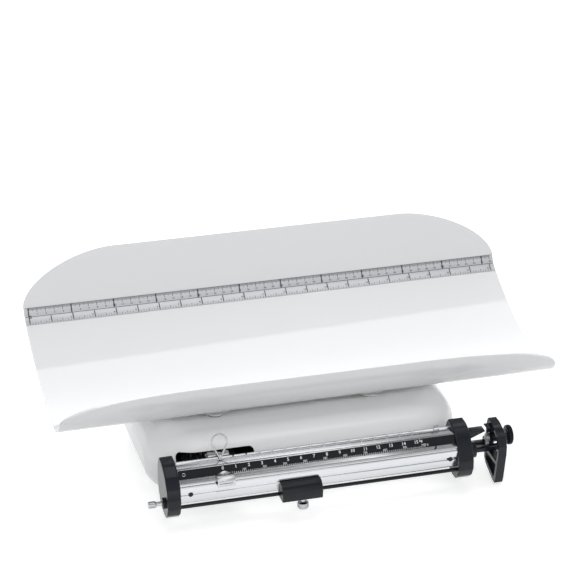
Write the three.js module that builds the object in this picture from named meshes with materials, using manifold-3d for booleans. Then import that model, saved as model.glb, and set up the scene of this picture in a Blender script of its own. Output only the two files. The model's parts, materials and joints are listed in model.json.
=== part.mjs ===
// Mechanical baby scale: a curved weighing tray on a closed lever base,
// read on a notched beam with sliding weights in front of the base.
// Millimetres, +X to the right along the beam, +Y to the back, +Z up.

import * as THREE from 'three';
import { mergeVertices } from 'three/addons/utils/BufferGeometryUtils.js';
import Module from 'manifold-3d';

const wasm = await Module();
wasm.setup();

// Clearances
const gap = 0.3;
const slideGap = 0.4;

// Tray
const trayLength = 570;
const trayThickness = 3.2;
const trayShift = 8;
const creaseY = 124;
const creaseZ = 139.5;
const backWallHeight = 64;
const backWallRun = 34.5;
const creaseRadius = 7;
const troughDepth = 48;
const troughRun = 172.5;
const lipRadius = 46;
const lipSweep = 92;
const backCornerRun = 110;
const backCornerDrop = 60;
const backCornerPower = 1.7;
const frontCornerRun = 189;
const frontCornerDrop = 35;
const frontCornerPower = 2.9;

// Ruler strip in the crease
const rulerLength = trayLength - 2;
const rulerWidthOnWall = 11;
const rulerWidthOnTrough = 10;
const rulerThickness = 0.5;

// Housing
const housingLength = 360;
const housingDepth = 224;
const housingFront = -housingDepth / 2;
const housingTop = 83;
const housingWall = 3.5;
const housingCornerRadius = 56;
const housingTopEdgeRadius = 36;
const housingBottomEdgeRadius = 28;
const housingBottomInset = 26;

// Base plate and feet
const plateThickness = 1.8;
const plateMargin = 24.5;
const footHeight = 3.4;
const footRadius = 12;
const footInsetX = 62;
const footInsetY = 52;

// Beam
const beamLeft = -175.5;
const beamRight = 171.5;
const capThicknessLeft = 15;
const capThicknessRight = 17.5;
const capBackY = housingFront - 10.5;
const capTopZ = 76;
const notchCount = 16;
const notchPitch = 14.64;
const notchZeroX = -110.3;
const notchWidth = 2;
const notchDepth = 2.6;
const stripThickness = 0.8;
const stripInset = 2;
const rodRadius = 2.1;
const rodY = capBackY - 35.3;
const rodZ = capTopZ - 44.8;
const rodSocketDepth = 4;

// Beam tip, tongue and guide frame
const tongueLength = 21.5;
const tongueTopZ = 64;
const tongueDepth = 12;
const tongueBackY = capBackY - 3.5;
const tongueRootHeight = 8.6;
const tongueTipHeight = 1;
const tipBarHeight = 4.6;
const tipBarDepth = 8.4;
const tipBarZ = 44.6;
const tipBarBackY = capBackY - 16;
const tipBossRadius = 9;
const tipBossLength = 8;
const guideGap = 29.9;
const guideThickness = 9.6;
const guideTopZ = 67.8;
const indexGap = 2.4;
const armHeight = 10;
const armWidth = 6;
const armZ = 26;
const armBackY = capBackY + 14.5;
const armRootInset = 62;

// Lock
const lockY = capBackY - 5.5;
const lockZ = 49.2;
const lockSpindleRadius = 2.5;
const lockBossRadius = 6;
const lockKnobRadius = 11.3;
const lockKnobThickness = 6;
const lockKnobStandOff = 9.6;
const lockFingerThickness = 3.5;
const lockFingerRadius = 5;
const lockFingerLength = 13;

// Sliding pieces
const poiseLeft = 13.2;
const poiseRight = 10.7;
const earInnerLeft = 3.9;
const earInnerRight = 4.2;
const ringWire = 0.65;
const ringRadius = 8.4;
const ringCentreZ = 15.4;
const ringTipZ = -4.2;
const ringTipY = -14.9;
const ringTopY = -9;
const ringPivotY = -7.4;
const ringPivotZ = -0.9;
const finePoiseX = -109.7;
const finePoiseWidth = 20;
const tareX = -27.2;
const tareWidth = 45.2;
const thumbScrewX = -23;
const thumbHeadRadius = 6.3;
const thumbHeadHeight = 7;
const thumbNeckRadius = 2.6;
const thumbNeckLength = 8.4;
const zeroKnobY = capBackY - 26;
const zeroKnobZ = capTopZ - 42.5;
const zeroKnobRadius = 3.8;
const zeroKnobLength = 8.5;
const zeroNeckRadius = 2.6;
const zeroNeckLength = 7;
const zeroBossRadius = 6.3;
const zeroBossLength = 3;
const railStopX = 136;
const fineStopX = 129.7;

// Lever works
const mainFulcrumX = housingLength / 2 - 58;
const shortFulcrumX = 48 - housingLength / 2;
const beamFulcrumX = shortFulcrumX + 43;
const beamLoadArm = 35;
const beamFulcrumEdgeZ = 34;
const beamLoadEdgeZ = 50;
const yokeBottomZ = 38;
const yokeThickness = 8;
const yokeInnerY = housingFront + 54;
const yokeKnifeFront = housingFront + 26;
const slotLeft = beamFulcrumX - 63;
const slotRight = beamFulcrumX + 24;
const slotBottom = 34;
const slotTop = 65.5;
const slotRadius = 5.5;
const leverLoadArm = 22;
const bearingY = housingDepth / 2 - 62;
const bearingWidth = 8;
const leverBarY = bearingY - 10;
const leverBarWidth = 8;
const mainLeverBottomZ = 24;
const mainLeverHeight = 8;
const shortLeverBottomZ = 13;
const shortLeverHeight = 7;
const knifeHeight = 8;
const knifeWidth = 7;
const mainFulcrumEdgeZ = 20;
const mainLoadEdgeZ = 36;
const shortFulcrumEdgeZ = 10;
const shortLoadEdgeZ = 24;
const linkWidth = 14;
const linkThickness = 4;
const linkBar = 3.2;
const linkY = housingFront + 36;
const railWidth = 8;
const railHeight = 8;
const railBottomZ = 42;
const postRadius = 5;
const postSpread = 90;
const postHoleClearance = 4;
const cradleWidth = 26;
const cradleLeast = 2;
const cradleReach = bearingY + 12;

// Derived places
const plateBottom = footHeight + gap;
const plateTop = plateBottom + plateThickness;
const housingBottom = plateTop + gap;
const cradleBottomZ = creaseZ - troughDepth - trayThickness - gap - cradleLeast;
const armRootX = housingLength / 2 - armRootInset;
const armRootY = housingFront + 28;
const beamLoadX = beamFulcrumX - beamLoadArm;
const leverCentreX = (mainFulcrumX + shortFulcrumX) / 2;
const mainLoadX = mainFulcrumX - leverLoadArm;
const shortLoadX = shortFulcrumX + leverLoadArm;
const extrusionLeft = beamLeft + capThicknessLeft + gap;
const extrusionRight = beamRight - capThicknessRight - gap;
const guideLeft = beamRight + guideGap;
const guideRight = guideLeft + guideThickness;
const tipBarEnd = guideRight + 2;

// Finishes
function finish(color, roughness, metalness) {
  return new THREE.MeshStandardMaterial({ color, roughness, metalness });
}

const whitePlastic = () => finish(0xf1f2f3, 0.22, 0);
const whiteShell = () => finish(0xe6e5e2, 0.18, 0);
const rulerFilm = () => finish(0xc9ccce, 0.4, 0.2);
const aluminium = () => finish(0xd3d5d8, 0.34, 0.9);
const chrome = () => finish(0xe2e4e6, 0.1, 1);
const blackPlastic = () => finish(0x1c2028, 0.42, 0);
const blackEnamel = () => finish(0x11141b, 0.35, 0);
const steel = () => finish(0x8f949a, 0.4, 0.9);
const castIron = () => finish(0x4a4d51, 0.65, 0.6);
const zincPlate = () => finish(0xa8a9a4, 0.45, 0.8);
const rubber = () => finish(0x202020, 0.85, 0);

// Booleans
function toSolid(geometry) {
  const bare = geometry.clone();
  bare.deleteAttribute('normal');
  bare.deleteAttribute('uv');
  const merged = mergeVertices(bare, 1e-4);
  const vertProperties = new Float32Array(merged.attributes.position.array);
  const triVerts = new Uint32Array(merged.index.array);
  return new wasm.Manifold(new wasm.Mesh({ numProp: 3, vertProperties, triVerts }));
}

function toGeometry(solid) {
  const mesh = solid.getMesh();
  const geometry = new THREE.BufferGeometry();
  geometry.setAttribute('position', new THREE.BufferAttribute(new Float32Array(mesh.vertProperties), 3));
  geometry.setIndex(new THREE.BufferAttribute(new Uint32Array(mesh.triVerts), 1));
  return geometry;
}

function cut(body, ...tools) {
  let solid = toSolid(body);
  for (const tool of tools) solid = solid.subtract(toSolid(tool));
  return toGeometry(solid);
}

function join(...parts) {
  let solid = toSolid(parts[0]);
  for (const part of parts.slice(1)) solid = solid.add(toSolid(part));
  return toGeometry(solid);
}

// Basic forms. The outline lies in (Y, Z), (X, Z) or (X, Y) for axis x, y or z.
const extrudeBasis = {
  x: new THREE.Matrix4().makeBasis(
    new THREE.Vector3(0, 1, 0), new THREE.Vector3(0, 0, 1), new THREE.Vector3(1, 0, 0)),
  y: new THREE.Matrix4().makeBasis(
    new THREE.Vector3(1, 0, 0), new THREE.Vector3(0, 0, 1), new THREE.Vector3(0, -1, 0)),
  z: new THREE.Matrix4(),
};

const vectors = (points) => points.map(([a, b]) => new THREE.Vector2(a, b));
const outline = (points) => (points instanceof THREE.Shape ? points : new THREE.Shape(vectors(points)));

function extrude(axis, points, from, to, bevel = 0, curveSegments = 6) {
  const geometry = new THREE.ExtrudeGeometry(outline(points), {
    depth: to - from - 2 * bevel, bevelEnabled: bevel > 0, bevelThickness: bevel, bevelSize: bevel,
    bevelOffset: -bevel, bevelSegments: 1, curveSegments,
  });
  geometry.applyMatrix4(extrudeBasis[axis]);
  const start = { x: [from + bevel, 0, 0], y: [0, to - bevel, 0], z: [0, 0, from + bevel] }[axis];
  return geometry.translate(...start);
}

function box(x0, x1, y0, y1, z0, z1) {
  const geometry = new THREE.BoxGeometry(x1 - x0, y1 - y0, z1 - z0);
  return geometry.translate((x0 + x1) / 2, (y0 + y1) / 2, (z0 + z1) / 2);
}

// The profile holds [radius, height] pairs and starts and ends on the axis.
function turned(axis, profile, a, b, segments = 20) {
  const geometry = new THREE.LatheGeometry(vectors(profile), segments);
  if (axis === 'x') {
    geometry.rotateZ(-Math.PI / 2).translate(0, a, b);
  } else {
    geometry.rotateX(Math.PI / 2).translate(a, b, 0);
  }
  return faceOut(geometry);
}

function cylinder(axis, radius, from, to, a, b, segments = 20) {
  return turned(axis, [[0, from], [radius, from], [radius, to], [0, to]], a, b, segments);
}

// Merges shared corners, drops empty triangles and turns the faces outwards.
function faceOut(geometry) {
  const bare = geometry.clone();
  bare.deleteAttribute('normal');
  bare.deleteAttribute('uv');
  const merged = mergeVertices(bare, 1e-4);
  const position = merged.attributes.position;
  const corners = Array.from(merged.index.array);
  const [p, q, r] = [new THREE.Vector3(), new THREE.Vector3(), new THREE.Vector3()];
  const kept = [];
  let volume = 0;
  for (let i = 0; i < corners.length; i += 3) {
    const [a, b, c] = corners.slice(i, i + 3);
    if (a === b || b === c || c === a) continue;
    kept.push(a, b, c);
    p.fromBufferAttribute(position, a);
    q.fromBufferAttribute(position, b);
    r.fromBufferAttribute(position, c);
    volume += p.dot(q.cross(r));
  }
  if (volume < 0) kept.reverse();
  merged.setIndex(kept);
  return merged;
}

function indexedGeometry(positions, index) {
  const geometry = new THREE.BufferGeometry();
  geometry.setAttribute('position', new THREE.Float32BufferAttribute(positions, 3));
  geometry.setIndex(index);
  return faceOut(geometry);
}

// Skin over rings with equally many points each, ended by a fan or closed on itself.
function loft(rings, closed = false) {
  const count = rings[0].length;
  const positions = rings.flat().flatMap((point) => [point.x, point.y, point.z]);
  const index = [];
  for (let ring = 0; ring < rings.length - (closed ? 0 : 1); ring += 1) {
    const next = (ring + 1) % rings.length;
    for (let i = 0; i < count; i += 1) {
      const j = (i + 1) % count;
      const [a, b] = [ring * count + i, ring * count + j];
      const [c, d] = [next * count + j, next * count + i];
      index.push(a, b, c, a, c, d);
    }
  }
  for (const ring of closed ? [] : [0, rings.length - 1]) {
    const centre = new THREE.Vector3();
    rings[ring].forEach((point) => centre.add(point));
    centre.divideScalar(count);
    const middle = positions.length / 3;
    positions.push(centre.x, centre.y, centre.z);
    for (let i = 0; i < count; i += 1) {
      const a = ring * count + i;
      const b = ring * count + (i + 1) % count;
      index.push(...(ring === 0 ? [middle, b, a] : [middle, a, b]));
    }
  }
  return indexedGeometry(positions, index);
}

const model = new THREE.Group();

function add(name, geometry, material) {
  const mesh = new THREE.Mesh(faceOut(geometry), material);
  mesh.name = name;
  model.add(mesh);
}

// Tray section, from the back wall's rim down to the crease and round to the front lip
function traySection() {
  const wallUp = new THREE.Vector2(backWallRun, backWallHeight).normalize();
  const troughStart = new THREE.Vector2(-troughRun, -2 * troughDepth).normalize();
  const path = new THREE.Path();
  path.moveTo(creaseY + backWallRun, creaseZ + backWallHeight);
  path.lineTo(creaseY + wallUp.x * creaseRadius, creaseZ + wallUp.y * creaseRadius);
  path.quadraticCurveTo(
    creaseY, creaseZ, creaseY + troughStart.x * creaseRadius, creaseZ + troughStart.y * creaseRadius);
  const lowY = creaseY - troughRun;
  const lowZ = creaseZ - troughDepth;
  path.quadraticCurveTo(creaseY - troughRun / 2, lowZ, lowY, lowZ);
  const down = -Math.PI / 2;
  path.absarc(lowY, lowZ + lipRadius, lipRadius, down, down - THREE.MathUtils.degToRad(lipSweep), true);
  return path;
}

const section = traySection();
const sectionLengths = section.getCurveLengths();
const sectionLength = section.getLength();
const [creaseStart, creaseEnd] = sectionLengths;
const creaseAt = (creaseStart + creaseEnd) / 2;

// Point of the tray section at a length along it, moved out below the tray by an offset
function traySkin(x, along, offset) {
  const u = THREE.MathUtils.clamp(along / sectionLength, 0, 1);
  const point = section.getPoint(u);
  const tangent = section.getTangent(u);
  return new THREE.Vector3(x, point.x - tangent.y * offset, point.y + tangent.x * offset);
}

// How far a rounded corner has come in at a distance along the tray
function cornerDrop(x, run, drop, power) {
  const reach = Math.min(1, Math.max(0, Math.abs(x) - (trayLength / 2 - run)) / run);
  return drop * (1 - (1 - reach ** power) ** (1 / power));
}

function trayColumns(cornerSteps, middleSteps) {
  const straight = trayLength / 2 - frontCornerRun;
  const right = [];
  for (let i = 0; i <= cornerSteps; i += 1) {
    right.push(straight + frontCornerRun * (1 - (1 - i / cornerSteps) ** 2.2));
  }
  const columns = right.map((x) => -x).reverse();
  for (let i = 1; i < middleSteps; i += 1) columns.push(straight * (2 * i / middleSteps - 1));
  return columns.concat(right);
}

// Lengths along the section at which the tray is divided, with the crease's bend always the same
function divide(from, to, steps) {
  return Array.from({ length: steps }, (_, i) => THREE.MathUtils.lerp(from, to, i / steps));
}

function trayRows(top, front) {
  const wall = divide(top, creaseStart, 4);
  const bend = divide(creaseStart, creaseEnd, 4);
  const trough = divide(creaseEnd, front, 23);
  return [...wall, ...bend, ...trough, front];
}

function trayGeometry() {
  const columns = trayColumns(14, 3);
  const rows = trayRows(0, sectionLength).length;
  const positions = [];
  for (const offset of [0, trayThickness]) {
    for (const x of columns) {
      const top = cornerDrop(x, backCornerRun, backCornerDrop, backCornerPower);
      const front = sectionLength - cornerDrop(x, frontCornerRun, frontCornerDrop, frontCornerPower);
      for (const along of trayRows(top, front)) positions.push(...traySkin(x + trayShift, along, offset));
    }
  }
  const side = columns.length * rows;
  const index = [];
  const quad = (a, b, c, d) => index.push(a, b, c, a, c, d);
  for (let i = 0; i < columns.length - 1; i += 1) {
    const first = i * rows;
    for (let j = 0; j < rows - 1; j += 1) {
      const a = first + j;
      quad(a, a + 1, a + rows + 1, a + rows);
      quad(side + a, side + a + rows, side + a + rows + 1, side + a + 1);
    }
    const end = first + rows - 1;
    quad(first, first + rows, side + first + rows, side + first);
    quad(end + rows, end, side + end, side + end + rows);
  }
  const last = (columns.length - 1) * rows;
  for (let j = 0; j < rows - 1; j += 1) {
    quad(j + 1, j, side + j, side + j + 1);
    quad(last + j, last + j + 1, side + last + j + 1, side + last + j);
  }
  return indexedGeometry(positions, index);
}

add('tray', trayGeometry(), whitePlastic());

const rulerStart = creaseAt - rulerWidthOnWall;
const rulerEnd = creaseAt + rulerWidthOnTrough;
const rulerRows = [rulerStart, ...divide(creaseStart, creaseEnd, 4), creaseEnd, rulerEnd];
const rulerEdge = (offset) => rulerRows.map((along) => traySkin(0, along, offset).toArray().slice(1));
const rulerBand = [...rulerEdge(-gap), ...rulerEdge(-gap - rulerThickness).reverse()];
const rulerLeft = trayShift - rulerLength / 2;
add('ruler_strip', extrude('x', rulerBand, rulerLeft, rulerLeft + rulerLength), rulerFilm());

// Cradles under the tray, shaped to its underside, each on two posts
function undersideAt(y) {
  let best = traySkin(0, creaseAt, trayThickness + gap);
  for (let along = creaseAt; along < sectionLength; along += 0.5) {
    const point = traySkin(0, along, trayThickness + gap);
    if (Math.abs(point.y - y) < Math.abs(best.y - y)) best = point;
  }
  return [best.y, best.z];
}

function cradleGeometry(x) {
  const steps = 12;
  const points = [];
  for (let i = 0; i <= steps; i += 1) {
    points.push(undersideAt(THREE.MathUtils.lerp(cradleReach, -cradleReach, i / steps)));
  }
  points.push([-cradleReach, cradleBottomZ + 1.5], [-cradleReach + 1.5, cradleBottomZ]);
  points.push([cradleReach - 3, cradleBottomZ], [cradleReach, cradleBottomZ + 3]);
  const window = [[-6, cradleBottomZ + 5], [cradleReach - 16, cradleBottomZ + 5],
    [cradleReach - 16, cradleBottomZ + 15], [16, cradleBottomZ + 10]];
  return cut(extrude('x', points, x - cradleWidth / 2, x + cradleWidth / 2),
    extrude('x', window, x - cradleWidth, x + cradleWidth));
}

const postXs = { left: leverCentreX - postSpread, right: leverCentreX + postSpread };
for (const [side, x] of Object.entries(postXs)) {
  add(`tray_cradle_${side}`, cradleGeometry(x), zincPlate());
  for (const [row, y] of [['front', -bearingY], ['back', bearingY]]) {
    add(`tray_post_${row}_${side}`,
      cylinder('z', postRadius, railBottomZ + railHeight + gap, cradleBottomZ - gap, x, y, 16), steel());
  }
}

// Housing: rounded rectangle rings that step in along the edge roundings
function roundedRing(halfX, halfY, radius, z, cornerSteps) {
  const ring = [];
  for (let corner = 0; corner < 4; corner += 1) {
    const signX = corner === 0 || corner === 3 ? 1 : -1;
    const signY = corner < 2 ? 1 : -1;
    for (let i = 0; i <= cornerSteps; i += 1) {
      const angle = (corner + i / cornerSteps) * Math.PI / 2;
      ring.push(new THREE.Vector3(
        signX * (halfX - radius) + radius * Math.cos(angle),
        signY * (halfY - radius) + radius * Math.sin(angle), z));
    }
  }
  return ring;
}

const bottomSweep = Math.acos(1 - housingBottomInset / housingBottomEdgeRadius);
const bottomArcZ = housingBottom + housingBottomEdgeRadius * Math.sin(bottomSweep);
const topArcZ = housingTop - housingTopEdgeRadius;

function pillowRings(inset, edgeSteps) {
  const rings = [];
  const addRing = (edgeRadius, angle, z) => {
    const depth = edgeRadius - (edgeRadius - inset) * Math.cos(angle);
    rings.push(roundedRing(
      housingLength / 2 - depth, housingDepth / 2 - depth, housingCornerRadius - depth, z, 7));
  };
  for (let i = 0; i <= edgeSteps; i += 1) {
    const angle = bottomSweep * (1 - i / edgeSteps);
    addRing(housingBottomEdgeRadius, angle, bottomArcZ - (housingBottomEdgeRadius - inset) * Math.sin(angle));
  }
  for (let i = 0; i <= edgeSteps; i += 1) {
    const angle = (i / edgeSteps) * Math.PI / 2;
    addRing(housingTopEdgeRadius, angle, topArcZ + (housingTopEdgeRadius - inset) * Math.sin(angle));
  }
  return rings;
}

// The arm that carries the guide frame passes the housing's front right corner.
const armPath = (grow) => {
  const front = armBackY - armWidth - grow;
  const back = armBackY + grow;
  const left = armRootX - armWidth - grow;
  const right = armRootX + grow;
  return [[guideRight - 3 - gap, front], [guideRight - 3 - gap, back], [right + 22, back],
    [right, armRootY + grow], [right, armRootY + 6 + grow], [left, armRootY + 6 + grow],
    [left, armRootY - 2.5 - grow], [left + 25, front]];
};

function housingGeometry() {
  const shell = loft([...pillowRings(housingWall, 5).reverse(), ...pillowRings(0, 6)]);
  const slot = new THREE.Shape();
  slot.moveTo(slotLeft + slotRadius, slotBottom);
  slot.lineTo(slotRight - slotRadius, slotBottom);
  slot.quadraticCurveTo(slotRight, slotBottom, slotRight, slotBottom + slotRadius);
  slot.lineTo(slotRight, slotTop - slotRadius);
  slot.quadraticCurveTo(slotRight, slotTop, slotRight - slotRadius, slotTop);
  slot.lineTo(slotLeft + slotRadius, slotTop);
  slot.quadraticCurveTo(slotLeft, slotTop, slotLeft, slotTop - slotRadius);
  slot.lineTo(slotLeft, slotBottom + slotRadius);
  slot.quadraticCurveTo(slotLeft, slotBottom, slotLeft + slotRadius, slotBottom);
  const tools = [extrude('y', slot, housingFront - 10, housingFront + 30, 0, 4)];
  for (const x of Object.values(postXs)) {
    for (const y of [-bearingY, bearingY]) {
      tools.push(cylinder('z', postRadius + postHoleClearance, housingTop - 20, housingTop + 10, x, y, 24));
    }
  }
  tools.push(extrude('z', armPath(1), armZ - 1, armZ + armHeight + 1));
  return cut(shell, ...tools);
}

add('housing', housingGeometry(), whiteShell());

// Base plate with feet
const plateOutline = roundedRing(
  housingLength / 2 - plateMargin, housingDepth / 2 - plateMargin, housingCornerRadius - plateMargin, 0, 6,
).map((point) => [point.x, point.y]);
add('base_plate', extrude('z', plateOutline, plateBottom, plateTop), zincPlate());

const footX = housingLength / 2 - footInsetX;
const footY = housingDepth / 2 - footInsetY;
for (const [name, x, y] of [
  ['front_left', -footX, -footY], ['front_right', footX, -footY],
  ['back_left', -footX, footY], ['back_right', footX, footY],
]) {
  add(`foot_${name}`, turned('z', [[0, 0], [footRadius - 1.2, 0], [footRadius, 1.2],
    [footRadius - 1, footHeight], [0, footHeight]], x, y), rubber());
}

// Knife edges: triangular bars along Y with the edge up or down
function knife(x, edgeZ, up, y0, y1, grow = 0) {
  const away = up ? -knifeHeight - grow : knifeHeight + grow;
  const half = knifeWidth / 2 + grow;
  const tip = edgeZ + (up ? grow : -grow);
  return extrude('y', [[x, tip], [x + half, edgeZ + away], [x - half, edgeZ + away]], y0 - grow, y1 + grow);
}

// Bearing block with a V seat for a knife edge that points down
const seatCheek = 2.6;
const seatSpread = 4.6;

function seatBlock(x, y0, y1, baseZ, edgeZ, depth) {
  const mouthZ = edgeZ + seatSpread;
  const seat = [[x, edgeZ - gap], [x + seatSpread, mouthZ], [x - seatSpread, mouthZ]];
  return cut(box(x - depth / 2, x + depth / 2, y0, y1, baseZ, edgeZ + seatCheek),
    extrude('y', seat, y0 - 1, y1 + 1));
}

// Levers: two side bars with cross bars, slotted for the links
const barHalf = leverBarY + leverBarWidth / 2;
const knifeReach = bearingY + bearingWidth / 2 + 1;
const forkInner = linkThickness / 2 + 3;
const forkOuter = 10;

function leverBars(x0, x1, crossXs, bottom, height) {
  const inner = leverBarY - leverBarWidth / 2;
  return [
    box(x0, x1, -barHalf, -inner, bottom, bottom + height),
    box(x0, x1, inner, barHalf, bottom, bottom + height),
    ...crossXs.map((x) => box(x - 5, x + 5, -barHalf + 1, barHalf - 1, bottom + 0.5, bottom + height - 0.5)),
  ];
}

function mainLeverGeometry() {
  const top = mainLeverBottomZ + mainLeverHeight;
  const parts = leverBars(leverCentreX - 9, mainFulcrumX + 6, [leverCentreX, mainLoadX - 12],
    mainLeverBottomZ, mainLeverHeight);
  const arm = [[leverCentreX - 2, -barHalf + 0.5], [leverCentreX - 2, -barHalf + leverBarWidth - 0.5],
    [beamLoadX + 20, linkY + forkInner], [beamLoadX + 14, linkY + forkOuter],
    [beamLoadX - 9, linkY + forkOuter], [beamLoadX - 9, linkY + forkInner],
    [beamLoadX + 9, linkY + forkInner], [beamLoadX + 9, linkY - forkInner],
    [beamLoadX - 9, linkY - forkInner], [beamLoadX - 9, linkY - forkOuter],
    [beamLoadX + 14, linkY - forkOuter], [beamLoadX + 20, linkY - forkInner]];
  parts.push(extrude('z', arm, mainLeverBottomZ + 0.3, top - 0.3));
  return cut(join(...parts),
    knife(mainFulcrumX, mainFulcrumEdgeZ, false, -knifeReach, knifeReach, gap),
    knife(mainLoadX, mainLoadEdgeZ, true, -knifeReach, knifeReach, gap),
    knife(leverCentreX, mainLoadEdgeZ, true, -leverBarY, leverBarY, gap),
    knife(beamLoadX, mainFulcrumEdgeZ, false, linkY - forkOuter, linkY + forkOuter, gap),
    box(leverCentreX - 8, leverCentreX + 8, -forkInner, forkInner, mainLeverBottomZ - 1, top + 1));
}

add('main_lever', mainLeverGeometry(), castIron());
add('main_fulcrum_knife', knife(mainFulcrumX, mainFulcrumEdgeZ, false, -knifeReach, knifeReach), steel());
add('main_load_knife', knife(mainLoadX, mainLoadEdgeZ, true, -knifeReach, knifeReach), steel());
add('main_centre_knife', knife(leverCentreX, mainLoadEdgeZ, true, -leverBarY, leverBarY), steel());
add('main_nose_knife',
  knife(beamLoadX, mainFulcrumEdgeZ, false, linkY - forkOuter, linkY + forkOuter), steel());

const shortNoseReach = 20;

function shortLeverGeometry() {
  const parts = leverBars(shortFulcrumX - 6, leverCentreX + 5.5, [leverCentreX, shortLoadX + 12],
    shortLeverBottomZ, shortLeverHeight);
  return cut(join(...parts),
    knife(shortFulcrumX, shortFulcrumEdgeZ, false, -knifeReach, knifeReach, gap),
    knife(shortLoadX, shortLoadEdgeZ, true, -knifeReach, knifeReach, gap),
    knife(leverCentreX, shortFulcrumEdgeZ, false, -shortNoseReach, shortNoseReach, gap),
    box(leverCentreX - 8, leverCentreX + 8, -forkInner, forkInner,
      shortLeverBottomZ - 1, shortLeverBottomZ + shortLeverHeight + 1));
}

add('short_lever', shortLeverGeometry(), castIron());
add('short_fulcrum_knife', knife(shortFulcrumX, shortFulcrumEdgeZ, false, -knifeReach, knifeReach), steel());
add('short_load_knife', knife(shortLoadX, shortLoadEdgeZ, true, -knifeReach, knifeReach), steel());
add('short_nose_knife',
  knife(leverCentreX, shortFulcrumEdgeZ, false, -shortNoseReach, shortNoseReach), steel());

// Links: closed loops over an upper knife edge and under a lower one
function link(x, y, lowEdgeZ, highEdgeZ) {
  const frame = (half, low, high) => [[x - half, low], [x + half, low], [x + half, high], [x - half, high]];
  const loop = outline(frame(linkWidth / 2, lowEdgeZ - gap - linkBar, highEdgeZ + gap + linkBar));
  loop.holes.push(new THREE.Path(vectors(frame(linkWidth / 2 - 2.6, lowEdgeZ - gap, highEdgeZ + gap))));
  return extrude('y', loop, y - linkThickness / 2, y + linkThickness / 2);
}

add('centre_link', link(leverCentreX, 0, shortFulcrumEdgeZ, mainLoadEdgeZ), zincPlate());
add('beam_link', link(beamLoadX, linkY, mainFulcrumEdgeZ, beamLoadEdgeZ), zincPlate());

const standBase = plateTop + gap;
for (const [row, sign] of [['front', -1], ['back', 1]]) {
  const y0 = sign * bearingY - bearingWidth / 2;
  const y1 = sign * bearingY + bearingWidth / 2;
  add(`main_stand_${row}`, seatBlock(mainFulcrumX, y0, y1, standBase, mainFulcrumEdgeZ, 16), castIron());
  add(`short_stand_${row}`, seatBlock(shortFulcrumX, y0, y1, standBase, shortFulcrumEdgeZ, 16), castIron());
}

const beamStandFront = housingFront + 27.6;
const beamStandBack = beamStandFront + 26;
add('beam_stand', join(
  box(beamFulcrumX - 7, beamFulcrumX + 7, beamStandFront + 0.5, beamStandBack - 0.5,
    standBase, standBase + 4),
  seatBlock(beamFulcrumX, beamStandFront, beamStandFront + 5, standBase, beamFulcrumEdgeZ, 13),
  seatBlock(beamFulcrumX, beamStandBack - 3.6, beamStandBack, standBase, beamFulcrumEdgeZ, 13)), castIron());

// Platform frame on four load bearings
function platformGeometry() {
  const half = railWidth / 2;
  const parts = [-bearingY, bearingY].map((y) => box(
    shortLoadX - 8, mainLoadX + 8, y - half, y + half, railBottomZ, railBottomZ + railHeight));
  for (const x of Object.values(postXs)) {
    parts.push(box(x - 8, x + 8, -bearingY - 6, bearingY + 6, railBottomZ + 0.5, railBottomZ + railHeight));
  }
  return join(...parts);
}

add('platform_frame', platformGeometry(), castIron());

function loadBearing(x, y, edgeZ) {
  const half = 6;
  const bottom = edgeZ - 3;
  const shape = [[x - half, bottom], [x - 3.4, bottom], [x, edgeZ + gap], [x + 3.4, bottom],
    [x + half, bottom], [x + half, railBottomZ - gap], [x - half, railBottomZ - gap]];
  return extrude('y', shape, y - 3.6, y + 3.6);
}

for (const [row, y] of [['front', -bearingY], ['back', bearingY]]) {
  add(`load_bearing_${row}_right`, loadBearing(mainLoadX, y, mainLoadEdgeZ), steel());
  add(`load_bearing_${row}_left`, loadBearing(shortLoadX, y, shortLoadEdgeZ), steel());
}

// Beam extrusion, in (Y, Z) from the back top corner of the end caps
const beamAt = ([y, z]) => [capBackY + y, capTopZ + z];
const stripTopEdge = new THREE.Vector2(-22.8, -6.6);
const stripLowEdge = new THREE.Vector2(-29.6, -15.1);
const stripWidth = stripLowEdge.distanceTo(stripTopEdge);
const stripAlong = stripLowEdge.clone().sub(stripTopEdge).normalize();
const stripInward = new THREE.Vector2(-stripAlong.y, stripAlong.x);
const onStrip = (along, depth) => stripTopEdge.clone()
  .addScaledVector(stripAlong, along).addScaledVector(stripInward, depth).toArray();
const stripLip = 0.4;
const stripSeat = stripThickness + 0.3;

const flangeTop = -1.9;
const extrusionFront = [
  [-11.8, flangeTop], [-13.2, flangeTop], [-13.2, -5.4], [-20.7, -5.6], [-22.8, -6.6],
  onStrip(stripLip, 0), onStrip(stripLip, stripSeat),
  onStrip(stripWidth - stripLip, stripSeat), onStrip(stripWidth - stripLip, 0),
  [-29.6, -15.1], [-34.3, -16.2], [-35.7, -17.8], [-35, -18.9], [-35.2, -20], [-36.5, -20.4],
  [-37.6, -27.4], [-36.3, -28], [-36.3, -29.9], [-37.6, -30.5], [-35.5, -40.4],
];
const extrusionBack = [
  [-34.2, -40.8], [-13.5, -40.8], [-11.8, -39.2], [-11.8, -15.4], [-8.4, -15.4], [-8.4, -11.8],
  [-9.6, -11.8], [-9.6, -14.2], [-11.8, -14.2],
];
const chamber = [
  [-13.8, -7.8], [-20.2, -8], [-27.6, -17], [-33.2, -19.6], [-34.4, -27.5], [-34.2, -31],
  [-32.9, -38.8], [-13.8, -38.8],
];

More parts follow.
